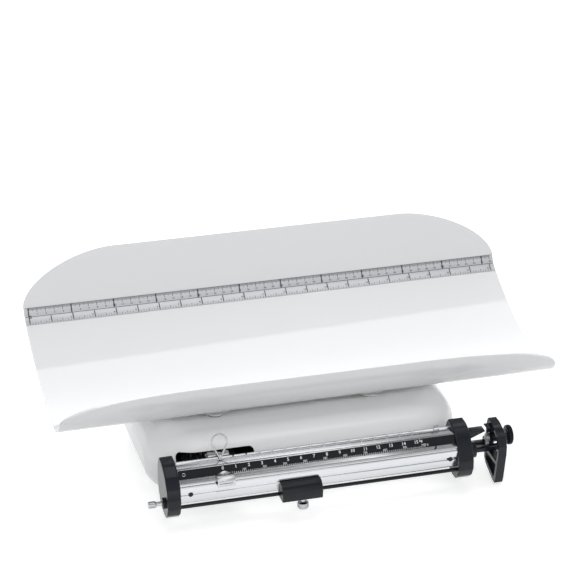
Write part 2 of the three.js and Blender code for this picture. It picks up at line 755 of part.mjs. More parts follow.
function extrusionGeometry() {
  const shape = outline([...extrusionFront, ...extrusionBack].map(beamAt));
  shape.holes.push(new THREE.Path(vectors(chamber.map(beamAt))));
  const bar = extrude('x', shape, extrusionLeft, extrusionRight);
  const top = capTopZ + flangeTop;
  const notches = [];
  for (let i = 0; i < notchCount; i += 1) {
    const x = notchZeroX + i * notchPitch;
    notches.push(extrude('y', [[x - notchWidth / 2, top + 1], [x - notchWidth / 4, top - notchDepth],
      [x + notchWidth / 4, top - notchDepth], [x + notchWidth / 2, top + 1]], capBackY - 16, capBackY - 10));
  }
  return cut(bar, ...notches);
}

add('beam_extrusion', extrusionGeometry(), aluminium());

const stripOutline = [
  onStrip(stripLip + gap, stripSeat - 0.3), onStrip(stripWidth - stripLip - gap, stripSeat - 0.3),
  onStrip(stripWidth - stripLip - gap, stripSeat - 0.3 - stripThickness),
  onStrip(stripLip + gap, stripSeat - 0.3 - stripThickness),
].map(beamAt);
add('scale_strip',
  extrude('x', stripOutline, extrusionLeft + stripInset, extrusionRight - stripInset), blackEnamel());

// End caps: a faceted shield, larger than the extrusion all round
const capOutline = [
  [0, 0], [-11.5, 0], [-19.2, -2.4], [-29.6, -10], [-38.6, -21.6], [-42.6, -32.6], [-42.6, -43],
  [-38, -52.4], [-29.4, -59.4], [-20, -60], [-9, -56.6], [-1, -51.4], [5, -44], [8, -34],
  [8, -13.2], [4.8, -5.4],
].map(beamAt);
const capBevel = 0.9;
const rodHole = (from, to) => cylinder('x', rodRadius + gap, from, to, rodY, rodZ, 16);
const capInnerLeft = beamLeft + capThicknessLeft;
const capInnerRight = beamRight - capThicknessRight;

add('end_cap_left', cut(
  join(extrude('x', capOutline, beamLeft, capInnerLeft, capBevel),
    cylinder('x', zeroBossRadius, beamLeft - zeroBossLength, beamLeft + 2, zeroKnobY, zeroKnobZ)),
  rodHole(capInnerLeft - rodSocketDepth, capInnerLeft + 1),
  cylinder('x', zeroNeckRadius + gap, beamLeft - zeroBossLength - 1, capInnerLeft - 3,
    zeroKnobY, zeroKnobZ, 16),
), blackPlastic());

add('end_cap_right', cut(extrude('x', capOutline, capInnerRight, beamRight, capBevel),
  rodHole(capInnerRight - 1, capInnerRight + rodSocketDepth)), blackPlastic());

add('slide_rod', cylinder('x', rodRadius, capInnerLeft - rodSocketDepth + gap,
  capInnerRight + rodSocketDepth - gap, rodY, rodZ, 16), blackEnamel());

// Tongue and tip bar on the right end cap
const tongueProfile = [
  [beamRight + gap, tongueTopZ], [beamRight + tongueLength, tongueTopZ],
  [beamRight + tongueLength, tongueTopZ - tongueTipHeight],
  [beamRight + 3, tongueTopZ - tongueRootHeight], [beamRight + gap, tongueTopZ - tongueRootHeight],
];
add('beam_tongue', extrude('y', tongueProfile, tongueBackY - tongueDepth, tongueBackY), blackPlastic());

add('beam_tip_bar', join(
  box(beamRight + 3, tipBarEnd, tipBarBackY - tipBarDepth, tipBarBackY,
    tipBarZ - tipBarHeight / 2, tipBarZ + tipBarHeight / 2),
  cylinder('x', tipBossRadius, beamRight + gap, beamRight + tipBossLength,
    tipBarBackY - tipBarDepth / 2, tipBarZ, 24)), blackPlastic());

// Yoke behind the beam: carries both beam knives through the housing's slot
function yokeGeometry() {
  const rootY = capBackY - 11.8 + gap;
  const plan = outline([
    [beamLoadX - 15, rootY], [beamFulcrumX + 14, rootY], [beamFulcrumX + 14, rootY + 6],
    [beamFulcrumX + 8, rootY + 12], [beamFulcrumX + 8, yokeInnerY], [beamFulcrumX - 8, yokeInnerY],
    [beamFulcrumX - 8, linkY - 16], [beamLoadX + 13, linkY - 16], [beamLoadX + 13, yokeInnerY - 7],
    [beamLoadX - 13, yokeInnerY - 7], [beamLoadX - 13, rootY + 12], [beamLoadX - 15, rootY + 6]]);
  plan.holes.push(new THREE.Path(vectors([
    [beamLoadX - 9, linkY - forkInner], [beamLoadX + 9, linkY - forkInner],
    [beamLoadX + 9, linkY + forkInner], [beamLoadX - 9, linkY + forkInner]])));
  return cut(extrude('z', plan, yokeBottomZ, yokeBottomZ + yokeThickness),
    knife(beamFulcrumX, beamFulcrumEdgeZ, false, yokeKnifeFront, yokeInnerY + 1, gap),
    knife(beamLoadX, beamLoadEdgeZ, true, linkY - 11, yokeInnerY - 8, gap));
}

add('beam_yoke', yokeGeometry(), castIron());
add('beam_fulcrum_knife',
  knife(beamFulcrumX, beamFulcrumEdgeZ, false, yokeKnifeFront, yokeInnerY), steel());
add('beam_load_knife', knife(beamLoadX, beamLoadEdgeZ, true, linkY - 11, yokeInnerY - 8), steel());

// Guide frame: limits the travel of the beam's tip and carries the fixed index
const guideAt = ([y, z]) => [capBackY + y, guideTopZ + z];
const guideOutline = [
  [0, 0], [-11.5, 0.2], [-24, -2.2], [-33, -6.5], [-38.5, -14.5], [-38, -25], [-34.8, -40],
  [-31.2, -57.5], [-28.5, -64.7], [-22.5, -64.4], [2, -56], [7.5, -50], [7.2, -29], [3.5, -7],
].map(guideAt);
const guideUpperWindow = [
  [-2.4, -5], [-11.5, -4], [-22.5, -6], [-30.2, -10], [-34.2, -16.5], [-33.6, -25], [-31.2, -36],
  [3.4, -36], [3.2, -29], [0.4, -9],
].map(guideAt);
const guideLowerWindow = [
  [-30, -40.5], [-27, -54], [-24.5, -59], [1, -51], [3.2, -48], [3.4, -40.5],
].map(guideAt);

function guideGeometry() {
  const frame = outline(guideOutline);
  for (const hole of [guideUpperWindow, guideLowerWindow]) frame.holes.push(new THREE.Path(vectors(hole)));
  const indexLeft = beamRight + tongueLength + indexGap;
  const index = extrude('y', [[indexLeft, tongueTopZ], [guideLeft + 2, tongueTopZ],
    [guideLeft + 2, tongueTopZ - 5], [indexLeft, tongueTopZ - tongueTipHeight]],
  tongueBackY - tongueDepth, tongueBackY);
  const indexRoot = box(guideLeft + 0.5, guideRight - 3, tongueBackY - tongueDepth + 1, tongueBackY - 1,
    tongueTopZ - 5, guideTopZ - 2);
  const boss = cylinder('x', lockBossRadius, guideLeft + 0.4, guideRight - 0.4, lockY, lockZ);
  const bossWeb = box(guideLeft + 1, guideRight - 1, lockY, capBackY + 5, lockZ - 3, lockZ + 3);
  const armSeat = box(guideLeft + 1, guideRight - 1, armBackY - armWidth - 5, armBackY + 3,
    armZ - 2.5, armZ + armHeight + 2.5);
  const armPocket = box(guideLeft - 1, guideRight - 3, armBackY - armWidth - gap, armBackY + gap,
    armZ - gap, armZ + armHeight + gap);
  const bore = cylinder('x', lockSpindleRadius + gap, guideLeft - 1, guideRight + 1, lockY, lockZ, 16);
  return cut(join(extrude('x', frame, guideLeft, guideRight), index, indexRoot, boss, bossWeb, armSeat),
    bore, armPocket);
}

add('guide_frame', guideGeometry(), blackPlastic());
add('guide_arm', join(
  extrude('z', armPath(0), armZ, armZ + armHeight),
  box(armRootX - 5.7, armRootX - 0.3, armRootY, armRootY + 5.7, standBase, armZ + 2),
  box(armRootX - 18, armRootX, armRootY - 0.3, armRootY + 18, standBase, standBase + 3)), blackEnamel());

// Lock: spindle through the guide frame, a finger inside and a round knob outside
const fingerRight = guideLeft - gap;
const fingerLeft = fingerRight - lockFingerThickness;
const knobLeft = guideRight + lockKnobStandOff;
const knobRight = knobLeft + lockKnobThickness;
add('lock_spindle',
  cylinder('x', lockSpindleRadius, fingerLeft - 0.5, knobLeft + 2, lockY, lockZ, 16), steel());
add('lock_finger', cut(join(
  cylinder('x', lockFingerRadius, fingerLeft, fingerRight, lockY, lockZ),
  box(fingerLeft + 0.2, fingerRight - 0.2, lockY - 2.4, lockY + 2.4, lockZ - lockFingerLength, lockZ)),
cylinder('x', lockSpindleRadius + gap, fingerLeft - 1, fingerRight + 1, lockY, lockZ, 16)), zincPlate());
add('lock_knob', cut(
  turned('x', [[0, knobLeft], [lockKnobRadius - 1.2, knobLeft], [lockKnobRadius, knobLeft + 1.2],
    [lockKnobRadius, knobRight - 1.8], [lockKnobRadius - 1.2, knobRight - 0.5],
    [lockKnobRadius - 4, knobRight], [0, knobRight]], lockY, lockZ, 28),
  cylinder('x', lockSpindleRadius + gap, knobLeft - 1, knobLeft + 2 + gap, lockY, lockZ, 16),
), blackPlastic());

// Main poise: a block that rides on the beam's rear track, with two ears and a pin for the ring
function poiseGeometry() {
  const left = notchZeroX - poiseLeft;
  const right = notchZeroX + poiseRight;
  const body = [
    [5, -27.8], [5, -7], [3.5, -5.4], [-11.3, -5.4], [-11.3, -13.7], [-10.1, -13.7], [-10.1, -11.3],
    [-7.9, -11.3], [-7.9, -16], [-11.3, -16], [-11.3, -27], [-10.5, -27.8],
  ].map(beamAt);
  const ear = [[-11, -6.4], [-11, -0.4], [-9.6, 1.2], [-5.4, 1.2], [-4, -0.4], [-4, -6.4]].map(beamAt);
  const [pinY, pinZ] = beamAt([ringPivotY, ringPivotZ]);
  return join(extrude('x', body, left, right),
    extrude('x', ear, left + 0.3, notchZeroX - earInnerLeft),
    extrude('x', ear, notchZeroX + earInnerRight, right - 0.3),
    cylinder('x', 0.8, notchZeroX - earInnerLeft - 1, notchZeroX + earInnerRight + 1, pinY, pinZ, 12));
}

add('main_poise', poiseGeometry(), chrome());

// Ring of wire, drop shaped, that hooks over the rail with its pointed end
function ringGeometry() {
  const tip = new THREE.Vector2(0, ringTipZ);
  const half = Math.asin(ringRadius / (ringCentreZ - ringTipZ));
  const path = [];
  for (let i = 0; i <= 18; i += 1) {
    const angle = -half + (i / 18) * (Math.PI + 2 * half);
    path.push(new THREE.Vector2(ringRadius * Math.cos(angle), ringCentreZ + ringRadius * Math.sin(angle)));
  }
  path.push(new THREE.Vector2(-1.3, ringTipZ + 3.2), new THREE.Vector2(-0.5, ringTipZ + 0.6), tip,
    new THREE.Vector2(0.5, ringTipZ + 0.6), new THREE.Vector2(1.3, ringTipZ + 3.2));
  const lean = (ringTopY - ringTipY) / (ringCentreZ + ringRadius - ringTipZ);
  const sides = 8;
  const rings = path.map((point, i) => {
    const before = path[(i + path.length - 1) % path.length];
    const after = path[(i + 1) % path.length];
    const forward = after.clone().sub(before).normalize();
    const circle = [];
    for (let k = 0; k < sides; k += 1) {
      const angle = (k / sides) * Math.PI * 2;
      const out = ringWire * Math.cos(angle);
      const x = point.x + forward.y * out;
      const z = point.y - forward.x * out;
      const y = ringTipY + (z - ringTipZ) * lean + ringWire * Math.sin(angle);
      circle.push(new THREE.Vector3(notchZeroX + x, capBackY + y, capTopZ + z));
    }
    return circle;
  });
  const web = extrude('x', [[ringTipY + 0.1, -4.6], [ringTipY + 0.9, -1.4], [-7.4, -1.4], [-7.4, 0.6],
    [ringTipY + 1.2, 0.6], [ringTipY, -1.5]].map(beamAt), notchZeroX - 1.1, notchZeroX + 1.1);
  const [pinY, pinZ] = beamAt([ringPivotY, ringPivotZ]);
  return cut(join(loft(rings, true), web,
    cylinder('x', 1.9, notchZeroX - 1.4, notchZeroX + 1.4, pinY, pinZ, 16)),
  cylinder('x', 1.1, notchZeroX - 3, notchZeroX + 3, pinY, pinZ, 12));
}

add('poise_ring', ringGeometry(), chrome());

// Fine poise: a small rider on the lower lip of the beam, with a pointer on the scale strip
function finePoiseGeometry() {
  const left = finePoiseX - finePoiseWidth / 2;
  const right = finePoiseX + finePoiseWidth / 2;
  const rider = [
    [-30.4, -13.2], [-36, -13.7], [-39.2, -15.6], [-40.5, -19.4], [-40.3, -23.6], [-38.6, -23.8],
    [-37.7, -23.4], [-37, -20], [-36.3, -17.8], [-34.7, -15.7], [-30.4, -14.7],
  ].map(beamAt);
  const pointer = new THREE.Shape(vectors([
    [left + 1, 0], [right - 1, 0], [right - 1.6, -1.2], [finePoiseX + 1.2, -4.6], [finePoiseX - 1.2, -4.6],
    [left + 1.6, -1.2]]));
  const plate = new THREE.ExtrudeGeometry(pointer, { depth: 0.8, bevelEnabled: false });
  const [rootY, rootZ] = beamAt(onStrip(stripWidth + 0.5, -1.3));
  const slope = new THREE.Matrix4().makeBasis(
    new THREE.Vector3(1, 0, 0), new THREE.Vector3(0, stripAlong.x, stripAlong.y),
    new THREE.Vector3(0, -stripAlong.y, stripAlong.x));
  plate.applyMatrix4(slope).translate(0, rootY, rootZ);
  return join(extrude('x', rider, left, right), plate);
}

add('fine_poise', finePoiseGeometry(), chrome());

// Tare weight: a sleeve on the slide rod with a clamping screw from below
const tareOutline = [
  [-38.2, -27.9], [-45.1, -28.9], [-49.8, -33], [-51.7, -39.5], [-50.8, -47.4], [-48.4, -50.4],
  [-29.6, -50.4], [-29.6, -41.4], [-34.2, -41.4], [-36.1, -40.8], [-38.2, -30.9],
].map(beamAt);
const tareBottom = capTopZ - 50.4;
const screwTip = rodZ - rodRadius - gap;
add('tare_weight', cut(
  extrude('x', tareOutline, tareX - tareWidth / 2, tareX + tareWidth / 2, 0.5),
  cylinder('x', rodRadius + slideGap, tareX - tareWidth, tareX + tareWidth, rodY, rodZ, 16),
  cylinder('z', thumbNeckRadius + gap, tareBottom - 1, rodZ, thumbScrewX, rodY, 16)), blackEnamel());

const headTop = tareBottom - thumbNeckLength;
const headBottom = headTop - thumbHeadHeight;
add('tare_thumbscrew', turned('z', [
  [0, headBottom], [thumbHeadRadius - 1, headBottom], [thumbHeadRadius, headBottom + 1],
  [thumbHeadRadius, headTop - 1], [thumbHeadRadius - 1, headTop], [thumbNeckRadius, headTop],
  [thumbNeckRadius, screwTip], [0, screwTip]], thumbScrewX, rodY, 24), chrome());

// Zero knob: a screw in the left end cap
const zeroNeckEnd = beamLeft - zeroBossLength - zeroNeckLength;
add('zero_knob', turned('x', [
  [0, zeroNeckEnd - zeroKnobLength], [zeroKnobRadius - 0.8, zeroNeckEnd - zeroKnobLength],
  [zeroKnobRadius, zeroNeckEnd - zeroKnobLength + 0.8], [zeroKnobRadius, zeroNeckEnd - 0.8],
  [zeroKnobRadius - 0.8, zeroNeckEnd], [zeroNeckRadius, zeroNeckEnd],
  [zeroNeckRadius, capInnerLeft - 3 - gap], [0, capInnerLeft - 3 - gap]], zeroKnobY, zeroKnobZ), chrome());

// Stops for the two poises at the right end of their travel
const railStop = [[-15.2, -4.6], [-15.2, -0.6], [-14.2, 0.6], [-11.2, 0.6], [-11.2, -4.6],
  [-11.5, -4.6], [-11.5, flangeTop + gap], [-13.5, flangeTop + gap], [-13.5, -4.6]].map(beamAt);
add('rail_stop', extrude('x', railStop, railStopX - 3, railStopX + 3), aluminium());
const [finePinY, finePinZ] = beamAt([-32.4, -15.4]);
add('fine_stop_pin', cylinder('z', 1, finePinZ, finePinZ + 2.6, fineStopX, finePinY, 12), blackEnamel());

const bounds = new THREE.Box3().setFromObject(model);
const middle = bounds.getCenter(new THREE.Vector3());
model.position.set(-middle.x, -middle.y, -bounds.min.z);

export default model;
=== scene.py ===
"""Mechanical baby scale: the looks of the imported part, with its floor, light and camera.

Sizes are written in millimetres, as on the scale itself, and turned into metres in one place.
"""

import json
import math

import bmesh
import bpy
import numpy as np
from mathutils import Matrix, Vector

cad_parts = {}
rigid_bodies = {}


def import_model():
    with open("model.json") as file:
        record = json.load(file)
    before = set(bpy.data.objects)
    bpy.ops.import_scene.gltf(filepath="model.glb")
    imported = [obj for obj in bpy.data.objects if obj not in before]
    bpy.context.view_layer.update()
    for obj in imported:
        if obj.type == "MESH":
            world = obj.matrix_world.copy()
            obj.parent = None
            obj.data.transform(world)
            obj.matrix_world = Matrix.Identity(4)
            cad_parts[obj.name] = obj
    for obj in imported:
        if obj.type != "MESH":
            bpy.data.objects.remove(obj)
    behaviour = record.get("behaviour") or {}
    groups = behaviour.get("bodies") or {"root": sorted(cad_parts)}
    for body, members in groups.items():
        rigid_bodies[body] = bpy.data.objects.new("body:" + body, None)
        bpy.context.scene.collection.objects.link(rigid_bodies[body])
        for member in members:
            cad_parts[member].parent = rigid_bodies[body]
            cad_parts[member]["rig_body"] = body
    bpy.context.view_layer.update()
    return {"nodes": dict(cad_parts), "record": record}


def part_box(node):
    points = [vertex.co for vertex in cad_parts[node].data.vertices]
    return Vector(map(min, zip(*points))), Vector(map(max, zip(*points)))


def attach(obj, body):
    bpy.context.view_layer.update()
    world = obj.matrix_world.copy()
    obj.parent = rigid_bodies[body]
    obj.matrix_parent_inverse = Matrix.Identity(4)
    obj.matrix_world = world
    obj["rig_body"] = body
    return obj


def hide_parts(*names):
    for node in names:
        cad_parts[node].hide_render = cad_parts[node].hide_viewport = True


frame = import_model()

MM = 0.001

# Tray
TRAY_LENGTH = 570
TRAY_THICKNESS = 3.2
TRAY_MIDDLE_X = 8
CREASE_Y = 124
CREASE_Z = 139.5
BACK_WALL_HEIGHT = 64
BACK_WALL_RUN = 34.5
CREASE_RADIUS = 7
TROUGH_DEPTH = 48
TROUGH_RUN = 172.5
LIP_RADIUS = 46
LIP_SWEEP = 92
BACK_CORNER = (110, 60, 1.7)
FRONT_CORNER = (189, 35, 2.9)

# Ruler in the tray's crease
RULER_LENGTH = 568
RULER_ON_WALL = 11
RULER_ON_TROUGH = 10
RULER_GAP = 0.3
RULER_THICKNESS = 0.5
CENTIMETRES = 56
INCHES = 22
INCH = 25.4
PRINT_HEIGHT = 0.06
PRINT_SINK = 0.02

# Housing
HOUSING_LENGTH = 360
HOUSING_DEPTH = 224
HOUSING_TOP = 83
HOUSING_BOTTOM = 5.8
HOUSING_WALL = 3.5
HOUSING_CORNER_RADIUS = 56
HOUSING_TOP_RADIUS = 36
HOUSING_BOTTOM_RADIUS = 28
HOUSING_BOTTOM_INSET = 26
HOUSING_CROWN = 5
CROWN_FROM_Y = 46
CROWN_FROM_Z = 40
CROWN_RUN = 30
PLATE_FACE_Z = 2.8
PLATE_SCREW_Y = 66
PLATE_SCREW_PITCH = 90
PLATE_SCREW_SIZE = 6
SLOT_X = (-152, -65)
SLOT_Z = (34, 65.5)
SLOT_RADIUS = 5.5
POST_X = (-95, 85)
POST_Y = (-50, 50)
POST_HOLE_RADIUS = 9

# Beam, measured from the back top corner of its end caps
CAP_BACK_Y = -122.5
CAP_TOP_Z = 76
STRIP_TOP_EDGE = (-22.8, -6.6)
STRIP_LOW_EDGE = (-29.6, -15.1)
STRIP_PLAY = 0.4
NOTCH_ZERO_X = -110.3
NOTCH_PITCH = 14.64
NOTCHES = 16
FINE_ZERO_X = -109.7
FINE_PITCH = 22.8
FINE_LABELS = 10
FINE_POISE_WIDTH = 20
ROD_Y = CAP_BACK_Y - 35.3
ROD_MIDDLE = -44.8
ROD_RADIUS = 2.1
WEIGHT_BOTTOM = -50.4
WEIGHT_FOOT = 3
WEIGHT_FOOT_RISE = 0.66
FIT = 0.3
BEAM_LEFT = -175.5
LEFT_CAP_THICKNESS = 15
THUMBSCREW_X = -23
THUMBSCREW_NECK = 8.4
THUMBSCREW_RADIUS = 6.1
THUMBSCREW_HEIGHT = 7
ZERO_KNOB_AT = (-26, -42.5)
ZERO_BOSS = 3
ZERO_NECK = 7
ZERO_RADIUS = 3.6
ZERO_LENGTH = 8.5
SHANK_RADIUS = 2.6
KNURL_DEPTH = 0.5
KNURL_SINK = 0.05
GROOVE_SCREW_X = (-148.5, 146)
GROOVE_SCREW_Y = -37.75
GROOVE_SCREW_Z = -29.4
GROOVE_SCREW_TURN = math.radians(35)
GROOVE_SCREW_SIZE = 4.2
EYELET_PLACE = (-154, 5.4)
FRAME_RISE = 3.2

# Wire ring, in Y and Z from the same corner
RING_TIP = (-14.9, -4.2)
RING_TOP_Y = -9
RING_RADIUS = 8.4
RING_CENTRE_Z = 15.4
RING_WIRE = 0.92
RING_PIN = (-7.4, -0.9)

# Camera: where the photograph was taken from
CAMERA_AT = (-653.3, -2379.2, 1379.5)
CAMERA_AZIMUTH = 15.2
CAMERA_DROP = 25.5
CAMERA_LENS = 152.7
CAMERA_SENSOR = 36

rod_low, rod_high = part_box("slide_rod")
tray_low, tray_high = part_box("tray")
SHIFT_X = (tray_low.x + tray_high.x) / 2 - TRAY_MIDDLE_X * MM
SHIFT_Y = (rod_low.y + rod_high.y) / 2 - ROD_Y * MM


def at(x, y, z):
    """A place on the scale, from millimetres to the frame's metres."""
    return Vector((x * MM + SHIFT_X, y * MM + SHIFT_Y, z * MM))


# Materials


class Finish:
    """A new material with its Principled shader and short ways to add nodes."""

    def __init__(self, name, colour, roughness, metallic=0.0):
        self.material = bpy.data.materials.new(name)
        self.material.use_nodes = True
        self.tree = self.material.node_tree
        self.shader = self.tree.nodes["Principled BSDF"]
        self.shader.inputs["Base Color"].default_value = (*colour, 1)
        self.shader.inputs["Roughness"].default_value = roughness
        self.shader.inputs["Metallic"].default_value = metallic

    def node(self, kind, **settings):
        node = self.tree.nodes.new(kind)
        for key, value in settings.items():
            setattr(node, key, value)
        return node

    def link(self, source, target):
        self.tree.links.new(source, target)

    def coordinates(self, stretch=(1, 1, 1)):
        place = self.node("ShaderNodeTexCoord")
        mapping = self.node("ShaderNodeMapping")
        mapping.inputs["Scale"].default_value = stretch
        self.link(place.outputs["Object"], mapping.inputs["Vector"])
        return mapping.outputs["Vector"]

    def noise(self, scale, detail=3, stretch=(1, 1, 1)):
        noise = self.node("ShaderNodeTexNoise")
        noise.inputs["Scale"].default_value = scale
        noise.inputs["Detail"].default_value = detail
        self.link(self.coordinates(stretch), noise.inputs["Vector"])
        return noise.outputs["Fac"]

    def between(self, factor, low, high):
        span = self.node("ShaderNodeMapRange")
        span.inputs["To Min"].default_value = low
        span.inputs["To Max"].default_value = high
        self.link(factor, span.inputs["Value"])
        return span.outputs["Result"]

    def vary_roughness(self, factor, low, high):
        self.link(self.between(factor, low, high), self.shader.inputs["Roughness"])

    def vary_colour(self, factor, dark, light):
        ramp = self.node("ShaderNodeValToRGB")
        ramp.color_ramp.elements[0].color = (*dark, 1)
        ramp.color_ramp.elements[1].color = (*light, 1)
        self.link(factor, ramp.inputs["Fac"])
        self.link(ramp.outputs["Color"], self.shader.inputs["Base Color"])

    def bump(self, factor, depth, strength=1.0):
        bump = self.node("ShaderNodeBump")
        bump.inputs["Distance"].default_value = depth * MM
        bump.inputs["Strength"].default_value = strength
        self.link(factor, bump.inputs["Height"])
        self.link(bump.outputs["Normal"], self.shader.inputs["Normal"])


def glossy_white(name, colour, roughness, wave):
    """Moulded white: a faint waviness, as on a large moulding, and a slightly uneven gloss."""
    finish = Finish(name, colour, roughness)
    finish.vary_roughness(finish.noise(26), roughness * 0.8, roughness * 1.25)
    duller = tuple(channel * 0.985 for channel in colour)
    finish.vary_colour(finish.noise(7), duller, colour)
    finish.bump(finish.noise(14, 2), wave, 0.35)
    finish.shader.inputs["IOR"].default_value = 1.5
    return finish.material


def silver_film():
    """The ruler's film: silvery, with a fine grain along its length."""
    finish = Finish("silver_film", (0.6, 0.62, 0.64), 0.4, 0.45)
    grain = finish.noise(2600, 4, (0.03, 1, 1))
    finish.vary_colour(grain, (0.54, 0.55, 0.57), (0.66, 0.67, 0.69))
    finish.vary_roughness(grain, 0.28, 0.42)
    return finish.material


def extruded_aluminium():
    """Bright anodised aluminium with the fine die lines that run along an extrusion."""
    finish = Finish("extruded_aluminium", (0.78, 0.79, 0.8), 0.3, 1.0)
    lines = finish.noise(900, 5, (0.004, 1, 1))
    finish.vary_colour(lines, (0.52, 0.53, 0.55), (0.64, 0.65, 0.665))
    finish.vary_roughness(lines, 0.14, 0.24)
    finish.bump(lines, 0.02, 0.5)
    return finish.material


def bright_chrome():
    finish = Finish("bright_chrome", (0.86, 0.87, 0.88), 0.08, 1.0)
    finish.vary_roughness(finish.noise(240), 0.05, 0.14)
    finish.bump(finish.noise(160, 2), 0.01, 0.3)
    return finish.material


def bright_steel():
    """Polished steel wire and turned screws, a little greyer than chrome."""
    finish = Finish("bright_steel", (0.62, 0.63, 0.64), 0.2, 1.0)
    marks = finish.noise(700, 3)
    finish.vary_colour(marks, (0.38, 0.39, 0.4), (0.6, 0.61, 0.62))
    finish.vary_roughness(marks, 0.12, 0.28)
    return finish.material


def moulded_black(name, gloss):
    """Black moulding with a fine grain and soft lights on its faces."""
    finish = Finish(name, (0.014, 0.016, 0.021), 0.38)
    finish.shader.inputs["Specular IOR Level"].default_value = gloss
    grain = finish.noise(1800, 4)
    finish.vary_colour(finish.noise(60), (0.006, 0.008, 0.012), (0.012, 0.015, 0.021))
    finish.vary_roughness(grain, 0.14, 0.26)
    finish.bump(grain, 0.02, 0.5)
    return finish.material


def black_enamel():
    finish = Finish("black_enamel", (0.008, 0.01, 0.014), 0.3)
    finish.shader.inputs["Specular IOR Level"].default_value = 0.3
    finish.vary_colour(finish.noise(90), (0.004, 0.005, 0.008), (0.008, 0.01, 0.014))
    finish.vary_roughness(finish.noise(700), 0.24, 0.38)
    finish.bump(finish.noise(500), 0.01, 0.4)
    return finish.material


def printed_ink(name, colour):
    finish = Finish(name, colour, 0.5)
    faded = tuple(channel * 0.85 for channel in colour)
    finish.vary_colour(finish.noise(1500), faded, colour)
    return finish.material


def ground_steel():
    finish = Finish("ground_steel", (0.5, 0.52, 0.54), 0.36, 1.0)
    marks = finish.noise(1200, 4, (1, 0.05, 1))
    finish.vary_colour(marks, (0.42, 0.44, 0.46), (0.6, 0.62, 0.64))
    finish.vary_roughness(marks, 0.28, 0.46)
    finish.bump(marks, 0.02, 0.4)
    return finish.material


def painted_casting():
    finish = Finish("painted_casting", (0.05, 0.054, 0.06), 0.6, 0.2)
    skin = finish.noise(420, 5)
    finish.vary_colour(skin, (0.03, 0.033, 0.038), (0.075, 0.08, 0.088))
    finish.vary_roughness(skin, 0.5, 0.75)
    finish.bump(skin, 0.25, 0.6)
    return finish.material


def zinc_plate():
    finish = Finish("zinc_plate", (0.5, 0.51, 0.5), 0.42, 0.9)
    spangle = finish.node("ShaderNodeTexVoronoi")
    spangle.inputs["Scale"].default_value = 160
    finish.link(finish.coordinates(), spangle.inputs["Vector"])
    finish.vary_colour(spangle.outputs["Distance"], (0.42, 0.43, 0.42), (0.6, 0.61, 0.6))
    finish.vary_roughness(finish.noise(300), 0.34, 0.5)
    return finish.material


def matt_rubber():
    finish = Finish("matt_rubber", (0.02, 0.02, 0.02), 0.85)
    grain = finish.noise(900, 4)
    finish.vary_colour(grain, (0.015, 0.015, 0.015), (0.03, 0.03, 0.03))
    finish.bump(grain, 0.05, 0.6)
    return finish.material


TRAY_WHITE = glossy_white("tray_white", (0.79, 0.795, 0.805), 0.06, 0.02)
HOUSING_WHITE = glossy_white("housing_white", (0.96, 0.96, 0.96), 0.1, 0.03)
FILM = silver_film()
ALUMINIUM = extruded_aluminium()
CHROME = bright_chrome()
BRIGHT_STEEL = bright_steel()
BLACK = moulded_black("moulded_black", 0.26)
KNOB_BLACK = moulded_black("knob_black", 0.1)
ENAMEL = black_enamel()
DARK_INK = printed_ink("dark_ink", (0.045, 0.05, 0.06))
WHITE_INK = printed_ink("white_ink", (0.85, 0.86, 0.87))
STEEL = ground_steel()
CASTING = painted_casting()
ZINC = zinc_plate()
RUBBER = matt_rubber()

SLOT_FINISHES = {
    "tray_white": TRAY_WHITE, "housing_white": HOUSING_WHITE, "ruler_film": FILM,
    "aluminium": ALUMINIUM, "chrome": CHROME, "black_plastic": BLACK, "black_enamel": ENAMEL,
    "steel": STEEL, "cast_iron": CASTING, "zinc_plate": ZINC, "rubber": RUBBER,
}
node_slot = {row["node"]: row["material_slot"] for row in frame["record"]["subparts"]}


# Meshes


def link_mesh(name, mesh):
    piece = bpy.data.objects.new(name, mesh)
    bpy.context.scene.collection.objects.link(piece)
    return piece


def grid_mesh(name, rows):
    """A sheet over rows of points with equally many points each."""
    count = len(rows[0])
    points = [point for row in rows for point in row]
    faces = [(r * count + i, r * count + i + 1, (r + 1) * count + i + 1, (r + 1) * count + i)
             for r in range(len(rows) - 1) for i in range(count - 1)]
    mesh = bpy.data.meshes.new(name)
    mesh.from_pydata(points, [], faces)
    return mesh


def open_loft(name, rings, ends=()):
    """A skin over closed rings, with the given faces over its ends."""
    count = len(rings[0])
    points = [point for ring in rings for point in ring]
    faces = [(r * count + i, r * count + (i + 1) % count,
              (r + 1) * count + (i + 1) % count, (r + 1) * count + i)
             for r in range(len(rings) - 1) for i in range(count)]
    mesh = bpy.data.meshes.new(name)
    mesh.from_pydata(points, [], faces + list(ends))
    return mesh


def closed_loft(name, rings):
    """A skin over closed rings, with a face over the first and the last."""
    count, whole = len(rings[0]), len(rings) * len(rings[0])
    ends = (tuple(reversed(range(count))), tuple(range(whole - count, whole)))
    mesh = open_loft(name, rings, ends)
    work = bmesh.new()
    work.from_mesh(mesh)
    bmesh.ops.recalc_face_normals(work, faces=work.faces)
    work.to_mesh(mesh)
    work.free()
    return mesh


def turns_of(steps):
    """Angles once round a circle."""
    return [2 * math.pi * i / steps for i in range(steps)]


def turned_rings(profile, place, steps):
    """Rings of points round an axis, one for each radius and height of the profile."""
    return [[place(radius * math.cos(turn), radius * math.sin(turn), height)
             for turn in turns_of(steps)] for radius, height in profile]


def lathe(name, profile, place, steps=64):
    """A turned piece: the profile holds radius and height, and place puts it on the scale."""
    return link_mesh(name, closed_loft(name, turned_rings(profile, place, steps)))


def turned_tube(name, profile, place, steps):
    """A turned piece with a bore, whose profile is a section of its wall."""
    tube = link_mesh(name + "_wall", open_loft(name, turned_rings(profile, place, steps)))
    return joined(name, [tube])


